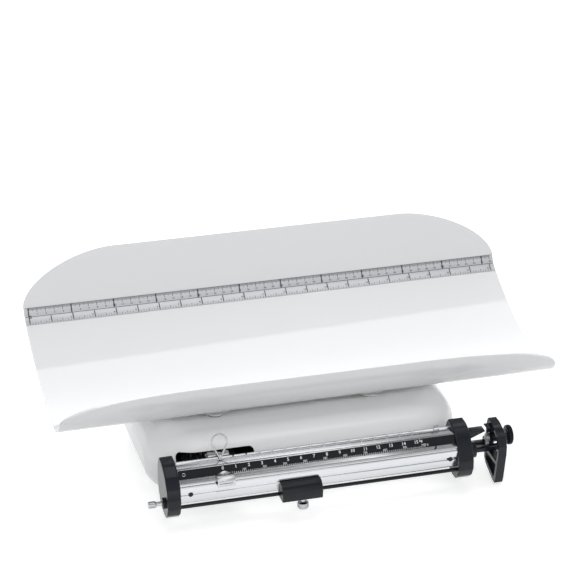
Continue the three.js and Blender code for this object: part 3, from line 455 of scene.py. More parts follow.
def rounded_rim(radius, low, high, ease=0.8, steps=4):
    """A cylinder's profile with both its edges rounded."""
    turns = [math.pi / 2 * i / steps for i in range(steps + 1)]
    inner = radius - ease
    profile = [(inner + ease * math.sin(t), low + ease - ease * math.cos(t)) for t in turns]
    profile += [(inner + ease * math.cos(t), high - ease + ease * math.sin(t)) for t in turns]
    return profile


def shade(mesh, angle):
    """Smooth faces, with the edges sharper than the angle kept crisp."""
    for polygon in mesh.polygons:
        polygon.use_smooth = True
    mesh.set_sharp_from_angle(angle=math.radians(angle))


def evaluated(piece, name):
    """The piece with its modifiers applied, as a plain mesh that takes its place."""
    graph = bpy.context.evaluated_depsgraph_get()
    mesh = bpy.data.meshes.new_from_object(piece.evaluated_get(graph))
    piece.modifiers.clear()
    piece.data = mesh
    piece.name = mesh.name = name
    return piece


def add_detail(piece, node, material, angle=None):
    """Gives a piece its material and lets it ride with a node's body."""
    piece.data.materials.clear()
    piece.data.materials.append(material)
    if angle:
        shade(piece.data, angle)
    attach(piece, frame["nodes"][node]["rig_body"])


def stand_in(piece, node, material, angle):
    """Gives a piece its material and the body of the node it stands for, and hides that node."""
    add_detail(piece, node, material, angle)
    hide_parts(node)
    return piece


def merged_copy(node, name):
    """A copy of a node's mesh with its loose triangles joined and its flat faces whole."""
    mesh = frame["nodes"][node].data.copy()
    work = bmesh.new()
    work.from_mesh(mesh)
    bmesh.ops.remove_doubles(work, verts=work.verts, dist=1e-6)
    bmesh.ops.dissolve_limit(work, angle_limit=math.radians(1), verts=work.verts, edges=work.edges)
    work.to_mesh(mesh)
    work.free()
    mesh.materials.clear()
    return link_mesh(name, mesh)


def ease_edges(piece, width, segments, limit):
    """Rounds the edges that are sharper than the limit, in degrees."""
    bevel = piece.modifiers.new("ease", "BEVEL")
    bevel.width = width * MM
    bevel.segments = segments
    bevel.limit_method = "ANGLE"
    bevel.angle_limit = math.radians(limit)
    return bevel


def eased(node, width, material=None, limit=25, angle=30):
    """A node with its edges eased by a small radius, as every moulded or machined edge is."""
    piece = merged_copy(node, node + "_eased")
    ease_edges(piece, width, 2, limit).miter_outer = "MITER_ARC"
    evaluated(piece, node + "_eased")
    return stand_in(piece, node, material or SLOT_FINISHES[node_slot[node]], angle)


# Repeated pieces, made by Geometry Nodes


def repeat_tree(name, add_shape, add_points):
    """A tree that puts a shape on every point and makes the copies real."""
    tree = bpy.data.node_groups.new(name, "GeometryNodeTree")
    tree.interface.new_socket("Geometry", in_out="OUTPUT", socket_type="NodeSocketGeometry")
    for socket, kind in (("Count", "Int"), ("Spacing", "Float"), ("Width", "Float"),
                         ("Length", "Float"), ("Height", "Float"), ("Finish", "Material")):
        tree.interface.new_socket(socket, in_out="INPUT", socket_type="NodeSocket" + kind)
    given = tree.nodes.new("NodeGroupInput")
    result = tree.nodes.new("NodeGroupOutput")
    instances = tree.nodes.new("GeometryNodeInstanceOnPoints")
    real = tree.nodes.new("GeometryNodeRealizeInstances")
    finish = tree.nodes.new("GeometryNodeSetMaterial")
    add_points(tree, given, instances)
    tree.links.new(add_shape(tree, given), instances.inputs["Instance"])
    tree.links.new(instances.outputs["Instances"], real.inputs["Geometry"])
    tree.links.new(real.outputs["Geometry"], finish.inputs["Geometry"])
    tree.links.new(given.outputs["Finish"], finish.inputs["Material"])
    tree.links.new(finish.outputs["Geometry"], result.inputs["Geometry"])
    return tree


def bar_shape(tree, given):
    """A small block, as wide, long and high as the inputs say."""
    size = tree.nodes.new("ShaderNodeCombineXYZ")
    tree.links.new(given.outputs["Width"], size.inputs["X"])
    tree.links.new(given.outputs["Length"], size.inputs["Y"])
    tree.links.new(given.outputs["Height"], size.inputs["Z"])
    bar = tree.nodes.new("GeometryNodeMeshCube")
    tree.links.new(size.outputs["Vector"], bar.inputs["Size"])
    return bar.outputs["Mesh"]


def screw_shape(tree, given):
    """A round head as wide and high as the inputs say, with a slot as wide as the length."""
    head = tree.nodes.new("GeometryNodeMeshCylinder")
    head.inputs["Vertices"].default_value = 32
    tree.links.new(half_of(tree, given.outputs["Width"]), head.inputs["Radius"])
    tree.links.new(given.outputs["Height"], head.inputs["Depth"])
    lift = tree.nodes.new("ShaderNodeCombineXYZ")
    tree.links.new(half_of(tree, given.outputs["Height"]), lift.inputs["Z"])
    raised = tree.nodes.new("GeometryNodeTransform")
    tree.links.new(bar_shape(tree, given), raised.inputs["Geometry"])
    tree.links.new(lift.outputs["Vector"], raised.inputs["Translation"])
    cut = tree.nodes.new("GeometryNodeMeshBoolean")
    cut.operation = "DIFFERENCE"
    tree.links.new(head.outputs["Mesh"], cut.inputs["Mesh 1"])
    tree.links.new(raised.outputs["Geometry"], cut.inputs["Mesh 2"])
    return cut.outputs["Mesh"]


def half_of(tree, value):
    """Half of a value in the tree."""
    half = tree.nodes.new("ShaderNodeMath")
    half.operation = "MULTIPLY"
    half.inputs[1].default_value = 0.5
    tree.links.new(value, half.inputs[0])
    return half.outputs[0]


def points_in_row(tree, given, instances):
    """Points along X, a spacing apart, from the origin on."""
    step = tree.nodes.new("ShaderNodeCombineXYZ")
    tree.links.new(given.outputs["Spacing"], step.inputs["X"])
    line = tree.nodes.new("GeometryNodeMeshLine")
    line.mode = "OFFSET"
    tree.links.new(given.outputs["Count"], line.inputs["Count"])
    tree.links.new(step.outputs["Vector"], line.inputs["Offset"])
    tree.links.new(line.outputs["Mesh"], instances.inputs["Points"])


def points_round(tree, given, instances):
    """Points round a circle whose radius is the spacing, each turned to face out."""
    circle = tree.nodes.new("GeometryNodeMeshCircle")
    tree.links.new(given.outputs["Count"], circle.inputs["Vertices"])
    tree.links.new(given.outputs["Spacing"], circle.inputs["Radius"])
    place = tree.nodes.new("GeometryNodeInputPosition")
    turn = tree.nodes.new("FunctionNodeAlignEulerToVector")
    turn.axis = "X"
    turn.pivot_axis = "Z"
    tree.links.new(place.outputs["Position"], turn.inputs["Vector"])
    tree.links.new(circle.outputs["Mesh"], instances.inputs["Points"])
    tree.links.new(turn.outputs["Rotation"], instances.inputs["Rotation"])


ROW_OF_BARS = repeat_tree("row_of_bars", bar_shape, points_in_row)
RING_OF_BARS = repeat_tree("ring_of_bars", bar_shape, points_round)
ROW_OF_SCREWS = repeat_tree("row_of_screws", screw_shape, points_in_row)


def repeated(tree, name, finish, **sizes):
    """One mesh of the tree's copies, with its inputs set by their names."""
    piece = link_mesh(name, bpy.data.meshes.new(name))
    modifier = piece.modifiers.new("repeat", "NODES")
    modifier.node_group = tree
    for socket in tree.interface.items_tree:
        if socket.in_out == "INPUT" and socket.name.lower() in sizes:
            modifier[socket.identifier] = sizes[socket.name.lower()]
        elif socket.in_out == "INPUT" and socket.name == "Finish":
            modifier[socket.identifier] = finish
    return evaluated(piece, name)


def reshape(mesh, place):
    """Moves every vertex to where the function puts it."""
    points = np.empty(len(mesh.vertices) * 3, np.float32)
    mesh.vertices.foreach_get("co", points)
    moved = [place(*point) for point in points.reshape(-1, 3)]
    mesh.vertices.foreach_set("co", np.array(moved, np.float32).ravel())
    mesh.update()


def joined(name, pieces):
    """Several mesh objects made one, with their faces turned out."""
    work = bmesh.new()
    for piece in pieces:
        work.from_mesh(piece.data)
        bpy.data.objects.remove(piece)
    bmesh.ops.recalc_face_normals(work, faces=work.faces)
    mesh = bpy.data.meshes.new(name)
    work.to_mesh(mesh)
    work.free()
    return link_mesh(name, mesh)


def ticks(count, spacing, width, length, start, edge, side):
    """A row of printed ticks from an edge: side 1 runs up from it, and side -1 down."""
    piece = repeated(ROW_OF_BARS, "ticks", DARK_INK, count=count, spacing=spacing,
                     width=width, length=length, height=PRINT_HEIGHT)
    reshape(piece.data, lambda x, y, z: (x + start, y + edge + side * length / 2, z))
    return piece


def lettering(words, size, x, y, weight=0.012):
    """Flat words as a thin mesh, in millimetres on the flat sheet."""
    curve = bpy.data.curves.new("lettering", "FONT")
    curve.body = words
    curve.size = size
    curve.extrude = PRINT_HEIGHT / 2
    curve.offset = size * weight
    curve.resolution_u = 2
    curve.align_x = "CENTER"
    curve.align_y = "CENTER"
    text = bpy.data.objects.new("lettering", curve)
    bpy.context.scene.collection.objects.link(text)
    graph = bpy.context.evaluated_depsgraph_get()
    mesh = bpy.data.meshes.new_from_object(text.evaluated_get(graph))
    bpy.data.objects.remove(text)
    piece = link_mesh("lettering", mesh)
    reshape(mesh, lambda a, b, c: (a + x, b + y, c))
    return piece


# Tray: a section in (Y, Z), followed by its length from the back wall's rim to the front lip


def tray_section(steps=400):
    """The section's points, how far along it each one lies, and where the crease bends."""
    wall = Vector((BACK_WALL_RUN, BACK_WALL_HEIGHT)).normalized()
    trough = Vector((-TROUGH_RUN, -2 * TROUGH_DEPTH)).normalized()
    crease = Vector((CREASE_Y, CREASE_Z))
    bend_from = crease + wall * CREASE_RADIUS
    bend_to = crease + trough * CREASE_RADIUS
    low = Vector((CREASE_Y - TROUGH_RUN, CREASE_Z - TROUGH_DEPTH))
    pull = Vector((CREASE_Y - TROUGH_RUN / 2, CREASE_Z - TROUGH_DEPTH))

    def bent(a, b, c, share):
        return a * (1 - share) ** 2 + b * (2 * share * (1 - share)) + c * share ** 2

    shares = [i / steps for i in range(steps)]
    points = [Vector((CREASE_Y + BACK_WALL_RUN, CREASE_Z + BACK_WALL_HEIGHT)), bend_from]
    points += [bent(bend_from, crease, bend_to, share) for share in shares[1:]] + [bend_to]
    bends = (1, len(points) - 1)
    points += [bent(bend_to, pull, low, share) for share in shares[1:]] + [low]
    for share in shares[1:] + [1]:
        angle = math.radians(-90 - LIP_SWEEP * share)
        points.append(low + Vector((math.cos(angle), 1 + math.sin(angle))) * LIP_RADIUS)
    steps_along = [(b - a).length for a, b in zip(points, points[1:])]
    lengths = np.concatenate([[0], np.cumsum(steps_along)])
    return np.array([tuple(point) for point in points]), lengths, [lengths[i] for i in bends]


SECTION, SECTION_LENGTHS, (BEND_FROM, BEND_TO) = tray_section()
SECTION_LENGTH = SECTION_LENGTHS[-1]
CREASE_AT = (BEND_FROM + BEND_TO) / 2


def section_at(along):
    """The section's Y and Z at a distance from the back wall's rim."""
    y = np.interp(along, SECTION_LENGTHS, SECTION[:, 0])
    z = np.interp(along, SECTION_LENGTHS, SECTION[:, 1])
    return y, z


def on_tray(x, along, height, step=0.4):
    """A point over the tray's upper face, by its place along the tray and along the section."""
    y, z = section_at(along)
    y0, z0 = section_at(along - step)
    y1, z1 = section_at(along + step)
    run = math.hypot(y1 - y0, z1 - z0)
    ty, tz = (y1 - y0) / run, (z1 - z0) / run
    return at(x + TRAY_MIDDLE_X, y + tz * height, z - ty * height)


def corner_drop(x, run, drop, power):
    """How far the rim's round corner takes off the section, at a place along the tray."""
    reach = min(1, max(0, abs(x) - (TRAY_LENGTH / 2 - run)) / run)
    return drop * (1 - (1 - reach ** power) ** (1 / power))


def spread(low, high, steps):
    """Even steps from low up to, but without, high."""
    return [low + (high - low) * i / steps for i in range(steps)]


def tray_columns(corner_steps=56, middle_steps=24):
    """Places along the tray, closer together towards its round corners."""
    half = TRAY_LENGTH / 2
    straight = half - FRONT_CORNER[0]
    right = [straight + FRONT_CORNER[0] * (1 - (1 - i / corner_steps) ** 2.4)
             for i in range(corner_steps + 1)]
    middle = [straight * (2 * i / middle_steps - 1) for i in range(1, middle_steps)]
    return [-x for x in reversed(right)] + middle + right


def make_tray():
    """The moulded trough, with its rim rounded all round."""
    columns = []
    for x in tray_columns():
        top = corner_drop(x, *BACK_CORNER)
        front = SECTION_LENGTH - corner_drop(x, *FRONT_CORNER)
        rows = spread(top, BEND_FROM, 14) + spread(BEND_FROM, BEND_TO, 10)
        rows += spread(BEND_TO, front, 74) + [front]
        columns.append([on_tray(x, along, 0) for along in rows])
    piece = link_mesh("tray_shell", grid_mesh("tray_shell", columns))
    wall = piece.modifiers.new("wall", "SOLIDIFY")
    wall.thickness = TRAY_THICKNESS * MM
    wall.offset = -1
    wall.use_even_offset = False
    ease_edges(piece, 0.6, 3, 50)
    evaluated(piece, "tray_shell")
    stand_in(piece, "tray", TRAY_WHITE, 50)


def make_ruler():
    """The silvery film in the crease, with centimetres on the wall and inches on the trough."""
    rows = []
    for x in spread(-RULER_LENGTH / 2, RULER_LENGTH / 2, 40) + [RULER_LENGTH / 2]:
        along = [CREASE_AT - RULER_ON_WALL] + spread(BEND_FROM, BEND_TO, 12)
        along += [BEND_TO, CREASE_AT + RULER_ON_TROUGH]
        rows.append([on_tray(x, a, RULER_GAP) for a in along])
    film = link_mesh("ruler_film", grid_mesh("ruler_film", rows))
    wall = film.modifiers.new("wall", "SOLIDIFY")
    wall.thickness = RULER_THICKNESS * MM
    wall.offset = 1
    evaluated(film, "ruler_film")
    stand_in(film, "ruler_strip", FILM, 60)

    zero = -CENTIMETRES * 10 / 2
    top = RULER_ON_WALL - 0.4
    low = -RULER_ON_TROUGH + 0.3
    prints = [
        ticks(CENTIMETRES * 10 + 1, 1, 0.46, 2.5, zero, top, -1),
        ticks(CENTIMETRES * 2 + 1, 5, 0.5, 3.3, zero, top, -1),
        ticks(CENTIMETRES + 1, 10, 0.62, 5, zero, top, -1),
        ticks(CENTIMETRES // 5 + 1, 50, 1.3, 10, zero, top, -1),
        ticks(INCHES * 8 + 1, INCH / 8, 0.42, 1.8, zero, low, 1),
        ticks(INCHES * 4 + 1, INCH / 4, 0.46, 2.6, zero, low, 1),
        ticks(INCHES * 2 + 1, INCH / 2, 0.5, 3.8, zero, low, 1),
        ticks(INCHES + 1, INCH, 1, 9.4, zero, low, 1),
        # A dark line along the crease itself, between the two scales.
        ticks(1, 1, RULER_LENGTH - 1, 0.6, 0, 0, 1),
        ticks(1, 1, RULER_LENGTH - 1, 0.4, 0, top, 1),
    ]
    for centimetre in range(1, CENTIMETRES + 1):
        size = 4.2 if centimetre % 10 == 0 else 3
        prints.append(lettering(str(centimetre), size, zero + centimetre * 10 + 0.4, 3, 0.02))
    prints.append(lettering("0", 5.5, zero + 1.8, -0.2, 0.03))
    for inch in range(1, INCHES + 1):
        prints.append(lettering(str(inch), 3.4, zero + inch * INCH - 2.6, -5.6))
    print_on(prints, "ruler_print", "ruler_strip", DARK_INK,
             lambda x, y, z: on_tray(x, CREASE_AT - y, RULER_GAP + RULER_THICKNESS + z))


def print_on(prints, name, node, ink, place):
    """Wraps flat printed pieces on a surface and lets them ride with its node."""
    piece = joined(name, prints)
    reshape(piece.data, place)
    add_detail(piece, node, ink)


# Housing: rings of a rounded rectangle that step in along the edge roundings


def crowned(y, z):
    """The housing's top falls away a little before it turns over into the front and the back."""
    slope = min(1, max(0, (abs(y) - CROWN_FROM_Y) / CROWN_RUN))
    rise = min(1, max(0, (z - CROWN_FROM_Z) / (HOUSING_TOP - CROWN_FROM_Z)))
    return z - HOUSING_CROWN * slope ** 2 * rise


def rounded_outline(x_range, y_range, radius, steps=8):
    """A rectangle with round corners, as points in two directions."""
    outline = []
    for corner in range(4):
        x = x_range[1] - radius if corner in (0, 3) else x_range[0] + radius
        y = y_range[1] - radius if corner < 2 else y_range[0] + radius
        for i in range(steps + 1):
            angle = (corner + i / steps) * math.pi / 2
            outline.append((x + radius * math.cos(angle), y + radius * math.sin(angle)))
    return outline


def pillow_rings(inset, steps):
    """The housing's rings from its bottom to its top, or those of its inner wall."""
    sweep = math.acos(1 - HOUSING_BOTTOM_INSET / HOUSING_BOTTOM_RADIUS)
    low_arc = HOUSING_BOTTOM + HOUSING_BOTTOM_RADIUS * math.sin(sweep)
    high_arc = HOUSING_TOP - HOUSING_TOP_RADIUS
    shares = [i / steps for i in range(steps + 1)]
    arcs = [(HOUSING_BOTTOM_RADIUS, sweep * (1 - share), -1, low_arc) for share in shares]
    arcs += [(HOUSING_TOP_RADIUS, share * math.pi / 2, 1, high_arc) for share in shares]
    rings = []
    for radius, angle, side, middle in arcs:
        depth = radius - (radius - inset) * math.cos(angle)
        z = middle + side * (radius - inset) * math.sin(angle)
        half_x, half_y = HOUSING_LENGTH / 2 - depth, HOUSING_DEPTH / 2 - depth
        outline = rounded_outline((-half_x, half_x), (-half_y, half_y),
                                  HOUSING_CORNER_RADIUS - depth, 20)
        rings.append([at(x, y, crowned(y, z)) for x, y in outline])
    return rings


def prism(name, outline, y0, y1):
    """A block with an outline in X and Z between two places in Y."""
    sides = [[at(x, y, z) for x, z in outline] for y in (y0, y1)]
    return link_mesh(name, closed_loft(name, sides))


def cut_away(piece, tool):
    """Takes a tool's shape out of the piece."""
    cut = piece.modifiers.new("cut", "BOOLEAN")
    cut.operation = "DIFFERENCE"
    cut.solver = "EXACT"
    cut.object = tool


def make_housing():
    """The pillow-shaped housing, open below, with the beam's slot and the holes for the posts."""
    rings = pillow_rings(HOUSING_WALL, 14)[::-1] + pillow_rings(0, 16)
    piece = link_mesh("housing_shell", closed_loft("housing_shell", rings))
    tools = [prism("slot_tool", rounded_outline(SLOT_X, SLOT_Z, SLOT_RADIUS),
                   -HOUSING_DEPTH / 2 - 10, -HOUSING_DEPTH / 2 + 30)]
    for x in POST_X:
        for y in POST_Y:
            bore = [(POST_HOLE_RADIUS, HOUSING_TOP + height) for height in (-20, 10)]
            tools.append(lathe("post_tool", bore, lambda a, b, z: at(x + a, y + b, z), 48))
    for tool in tools:
        cut_away(piece, tool)
    evaluated(piece, "housing_shell")
    for tool in tools:
        bpy.data.objects.remove(tool)
    stand_in(piece, "housing", HOUSING_WHITE, 40)


# Beam

STRIP_TOP = Vector(STRIP_TOP_EDGE)
STRIP_DOWN = (Vector(STRIP_LOW_EDGE) - STRIP_TOP).normalized()
STRIP_OUT = Vector((STRIP_DOWN.y, -STRIP_DOWN.x))
STRIP_WIDTH = (Vector(STRIP_LOW_EDGE) - STRIP_TOP).length


def beam_point(x, y, z):
    """A place on the beam, with Y and Z measured from its end caps' back top corner."""
    return at(x, CAP_BACK_Y + y, CAP_TOP_Z + z)


def on_strip(x, down, height):
    """A point over the scale strip's face, by its place along the beam and down the strip."""
    return beam_point(x, *(STRIP_TOP + STRIP_DOWN * down + STRIP_OUT * height))


def make_strip():
    """The black strip, from end cap to end cap."""
    strip_low, strip_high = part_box("scale_strip")
    beam_low, beam_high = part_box("beam_extrusion")
    middle = (strip_low.x + strip_high.x) / 2
    stretch = (beam_high.x - beam_low.x - STRIP_PLAY * MM) / (strip_high.x - strip_low.x)
    piece = merged_copy("scale_strip", "strip")
    reshape(piece.data, lambda x, y, z: (middle + (x - middle) * stretch, y, z))
    stand_in(piece, "scale_strip", ENAMEL, 30)


def make_beam_print():
    """White kilograms along the top of the strip, and grams with their ticks along its foot."""
    foot = -STRIP_WIDTH + 0.7
    prints = [
        ticks(FINE_LABELS * 10 + 1, FINE_PITCH / 10, 0.6, 1.4, FINE_ZERO_X, foot, 1),
        ticks(FINE_LABELS * 2 + 1, FINE_PITCH / 2, 0.64, 1.7, FINE_ZERO_X, foot, 1),
        ticks(FINE_LABELS + 1, FINE_PITCH, 0.7, 2, FINE_ZERO_X, foot, 1),
    ]
    for kilogram in range(NOTCHES):
        place = NOTCH_ZERO_X + kilogram * NOTCH_PITCH
        prints.append(lettering(str(kilogram), 5, place, -3.5, 0.014))
    last_notch = NOTCH_ZERO_X + (NOTCHES - 1) * NOTCH_PITCH
    prints.append(lettering("kg", 4, last_notch + 5.4, -2.5, 0.014))
    for label in range(1, FINE_LABELS + 1):
        words = str(label * 100) + (" g" if label == FINE_LABELS else "")
        place = FINE_ZERO_X + label * FINE_PITCH
        prints.append(lettering(words, 3.1, place, foot + 2.7, 0.004))
    print_on(prints, "beam_print", "scale_strip", WHITE_INK,
             lambda x, y, z: on_strip(x, -y, z - PRINT_SINK))


# Turned and bent pieces


def knurled_screw(name, node, head, ease, shank, knurls, place):
    """A turned screw with fine ridges round its head, which has a radius and two ends."""
    radius, low, high = head
    count, width, height = knurls
    turned = lathe(name + "_turned", rounded_rim(radius, low, high, ease) + shank, place)
    ridges = repeated(RING_OF_BARS, "knurls", CHROME, count=count, spacing=radius - KNURL_SINK,
                      width=KNURL_DEPTH, length=width, height=height)
    reshape(ridges.data, lambda x, y, z: place(x, y, (low + high) / 2 + z))
    stand_in(joined(name, [turned, ridges]), node, BRIGHT_STEEL, 40)


def make_thumbscrew():
    """The tare weight's clamping screw, from below: a neck and a knurled head."""
    top = CAP_TOP_Z + WEIGHT_BOTTOM - THUMBSCREW_NECK
    tip = CAP_TOP_Z + ROD_MIDDLE - ROD_RADIUS - FIT
    knurled_screw("thumbscrew", "tare_thumbscrew",
                  (THUMBSCREW_RADIUS, top - THUMBSCREW_HEIGHT, top), 1.1,
                  [(4.2, top + 0.5), (2.7, top + 0.9), (SHANK_RADIUS, tip)], (40, 0.5, 4.6),
                  lambda x, y, z: at(THUMBSCREW_X + x, ROD_Y + y, z))


def make_zero_knob():
    """The knurled screw in the left end cap that sets the beam to zero."""
    neck_end = BEAM_LEFT - ZERO_BOSS - ZERO_NECK
    inner = BEAM_LEFT + LEFT_CAP_THICKNESS - ZERO_BOSS - FIT
    knurled_screw("zero_screw", "zero_knob", (ZERO_RADIUS, neck_end - ZERO_LENGTH, neck_end), 0.7,
                  [(SHANK_RADIUS, neck_end + 0.3), (SHANK_RADIUS, inner)], (28, 0.42, 6.4),
                  lambda x, y, z: beam_point(z, ZERO_KNOB_AT[0] + x, ZERO_KNOB_AT[1] + y))


def ring_path(steps=72):
    """The wire's drop shape, in X and Z from its notch, with its point at the foot."""
    tip = RING_TIP[1]
    half = math.asin(RING_RADIUS / (RING_CENTRE_Z - tip))
    path = []
    for i in range(steps + 1):
        turn = -half + i / steps * (math.pi + 2 * half)
        x, z = RING_RADIUS * math.cos(turn), RING_RADIUS * math.sin(turn)
        path.append(Vector((x, RING_CENTRE_Z + z)))
    foot = ((-1.3, 3.2), (-0.5, 0.6), (0, 0), (0.5, 0.6), (1.3, 3.2))
    return path + [Vector((x, tip + z)) for x, z in foot]


def wire_rings(path):
    """Rings of points round the wire, which leans back from its point to its top."""
    tip_y, tip_z = RING_TIP
    lean = (RING_TOP_Y - tip_y) / (RING_CENTRE_Z + RING_RADIUS - tip_z)
    rings = []
    for i, point in enumerate(path):
        ahead = (path[(i + 1) % len(path)] - path[i - 1]).normalized()
        ring = []
        for turn in turns_of(16):
            out = RING_WIRE * math.cos(turn)
            x, z = point.x + ahead.y * out, point.y - ahead.x * out
            y = tip_y + (z - tip_z) * lean + RING_WIRE * math.sin(turn)
            ring.append(beam_point(NOTCH_ZERO_X + x, y, z))
        rings.append(ring)
    return rings + rings[:1]


def make_ring():
    """The drop-shaped wire ring, with the eye on the poise's pin and the web behind its tip."""
    wire = link_mesh("wire", open_loft("wire", wire_rings(ring_path())))
    outline = [(-14.8, -4.6), (-14, -1.4), (-8.7, -1.4), (-8.7, 0.6), (-13.7, 0.6), (-14.9, -1.5)]
    sides = [[beam_point(NOTCH_ZERO_X + x, y, z) for y, z in outline] for x in (-1.1, 1.1)]
    web = link_mesh("web", closed_loft("web", sides))
    section = [(1.1, -1.4), (1.9, -1.4), (1.9, 1.4), (1.1, 1.4), (1.1, -1.4)]
    pin_y, pin_z = RING_PIN
    rings = turned_rings(section, lambda y, z, x: beam_point(
        NOTCH_ZERO_X + x, pin_y + y, pin_z + z), 24)
    eye = link_mesh("eye", open_loft("eye", rings))
    stand_in(joined("ring_of_wire", [wire, web, eye]), "poise_ring", BRIGHT_STEEL, 40)


def make_poise_details():
    """On the fine poise: a rolled top edge, a thin black rod that paints the shade in the gap over
    its foot, and a short black cylinder at its left end.
    """
    left, right = FINE_ZERO_X - FINE_POISE_WIDTH / 2, FINE_ZERO_X + FINE_POISE_WIDTH / 2
    for name, y, z, radius, x0, x1, material, ease in (
            ("poise_roll", -35.4, -13.9, 1.1, left + 0.6, right - 0.6, BRIGHT_STEEL, 0.4),
            # The thin black rod below is painted shade in the gap over the foot.
            ("poise_gap_shade", -40.3, -19.9, 0.42, left + 2.2, right - 3, BLACK, 0.2),
            ("poise_black_end", -38.9, -18.6, 1.7, left - 1.6, left + 0.4, BLACK, 0.5)):
        piece = lathe(name, rounded_rim(radius, x0, x1, ease, 3),
                      lambda a, b, h: beam_point(h, y + a, z + b), 32)
        add_detail(piece, "fine_poise", material, 50)


def make_lock_knob():
    """The black knob of the lock: a thick disc with a domed face and a slim collar."""
    low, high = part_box("lock_knob")
    middle = (low + high) / 2
    radius = (high.z - low.z) / 2 / MM
    left, right = low.x / MM, high.x / MM + 1.6
    profile = [(radius * 0.55, left), (radius * 0.58, left + 0.8)]
    profile += rounded_rim(radius, left + 0.9, right - 0.6, 2.1, 8)
    profile += [(radius * 0.55, right - 0.1), (radius * 0.2, right)]
    piece = lathe("knob", profile, lambda x, y, z: Vector(
        (z * MM, middle.y + x * MM, middle.z + y * MM)))
    stand_in(piece, "lock_knob", KNOB_BLACK, 50)


def make_guide_frame():
    """The guide frame, with its arch a little higher over the tip bar's window."""
    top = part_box("guide_frame")[1].z
    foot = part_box("lock_spindle")[1].z + 2 * MM
    piece = eased("guide_frame", 0.5, limit=20, angle=18)
    rise = FRAME_RISE * MM / (top - foot)
    reshape(piece.data, lambda x, y, z: (x, y, z + rise * max(0, z - foot)))


def make_weight():
    """The tare weight with a smooth round front, its foot a little over the screw's head."""
    piece = merged_copy("tare_weight", "weight")
    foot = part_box("tare_weight")[0].z + WEIGHT_FOOT * MM
    reshape(piece.data, lambda x, y, z: (x, y, z + WEIGHT_FOOT_RISE * max(0, foot - z)))
    ease_edges(piece, 0.7, 3, 38)
    stand_in(evaluated(piece, "weight"), "tare_weight", ENAMEL, 36)


def smooth_bar(node, axis, ease=0.6):
    """A turned bar with smooth sides and rounded ends, as long and thick as its node."""
    low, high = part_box(node)
    middle = (low + high) / 2
    size = (high - low) / MM
    across = [i for i in range(3) if i != axis]
    radius = max(size[i] for i in across) / 2

    def place(x, y, z):
        point = middle.copy()
        point[across[0]] += x * MM
        point[across[1]] += y * MM
        point[axis] += z * MM
        return point

    half = size[axis] / 2
    piece = lathe(node + "_turned", rounded_rim(radius, -half, half, ease), place, 48)
    stand_in(piece, node, SLOT_FINISHES[node_slot[node]], 40)


def make_post_seals():
    """White washers that close the gap round each of the tray's posts."""
    profile = [(5.8, -0.5), (5.8, 0.5), (6.2, 0.9), (9.6, 0.6), (10.4, 0.1), (10.4, -0.5),
               (5.8, -0.5)]
    for number, (x, y) in enumerate((x, y) for x in POST_X for y in POST_Y):
        top = crowned(y, HOUSING_TOP)
        piece = turned_tube("post_seal_%d" % number, profile,
                            lambda a, b, h: at(x + a, y + b, top + h), 48)
        add_detail(piece, "housing", HOUSING_WHITE, 40)


def screws(name, node, count, spacing, width, place):
    """Slotted screws in a row."""
    piece = repeated(ROW_OF_SCREWS, name, BRIGHT_STEEL, count=count, spacing=spacing,
                     width=width, length=width / 4.5, height=width / 3)
    reshape(piece.data, place)
    shade(piece.data, 30)
    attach(piece, frame["nodes"][node]["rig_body"])


def make_screws():
    """Slotted screws: two in the beam's front groove, each over a black disc of painted shade, and
    six that hold the base plate.
    """
    cos, sin = math.cos(GROOVE_SCREW_TURN), math.sin(GROOVE_SCREW_TURN)
    places = list(zip(("left", "right"), GROOVE_SCREW_X))
    for side, middle in places:
        # A black disc behind each groove screw, set a little to the left, paints the shade in its
        # recess.
        shade_disc = lathe("groove_screw_shade_disc_" + side, rounded_rim(2.7, -0.3, 0.1, 0.1, 2),
                     lambda x, y, z: beam_point(
                         middle - 0.5 + x, GROOVE_SCREW_Y - z, GROOVE_SCREW_Z + y), 32)
        add_detail(shade_disc, "beam_extrusion", ENAMEL)
    for side, middle in places:
        screws("groove_screw_" + side, "beam_extrusion", 1, 1, GROOVE_SCREW_SIZE,
               lambda x, y, z: beam_point(middle + x * cos - y * sin, GROOVE_SCREW_Y + 0.45 - z,
                                          GROOVE_SCREW_Z + x * sin + y * cos))
    for row, middle in (("front", -PLATE_SCREW_Y), ("back", PLATE_SCREW_Y)):
        screws("plate_screws_" + row, "base_plate", 3, PLATE_SCREW_PITCH, PLATE_SCREW_SIZE,
               lambda x, y, z: at(x - PLATE_SCREW_PITCH, middle + y, PLATE_FACE_Z - z))


def make_eyelet():
    """The bright eyelet that holds the scale strip at its left end."""
    profile = [(1.25, -0.1), (1.25, 0.45), (1.5, 0.7), (1.9, 0.6), (2.1, 0.2), (2.1, -0.1)]
    piece = turned_tube("strip_eyelet", profile, lambda x, y, z: on_strip(
        EYELET_PLACE[0] + x, EYELET_PLACE[1] + y, z), 40)
    add_detail(piece, "scale_strip", BRIGHT_STEEL, 40)


# Floor, light and camera


def make_floor():
    """A pale floor that the camera sees as white, with the scale's soft shadow on it."""
    mesh = bpy.data.meshes.new("floor")
    side = 12
    corners = [(-side, -side, 0), (side, -side, 0), (side, side, 0), (-side, side, 0)]
    mesh.from_pydata(corners, [], [(0, 1, 2, 3)])
    floor = link_mesh("floor", mesh)
    finish = Finish("pale_floor", (0.8, 0.8, 0.8), 0.9)
    finish.shader.inputs["Specular IOR Level"].default_value = 0
    finish.shader.inputs["Emission Color"].default_value = (1, 1, 1, 1)
    glow = finish.between(seen_directly(finish.tree), 0, 0.6)
    finish.link(glow, finish.shader.inputs["Emission Strength"])
    floor.data.materials.append(finish.material)


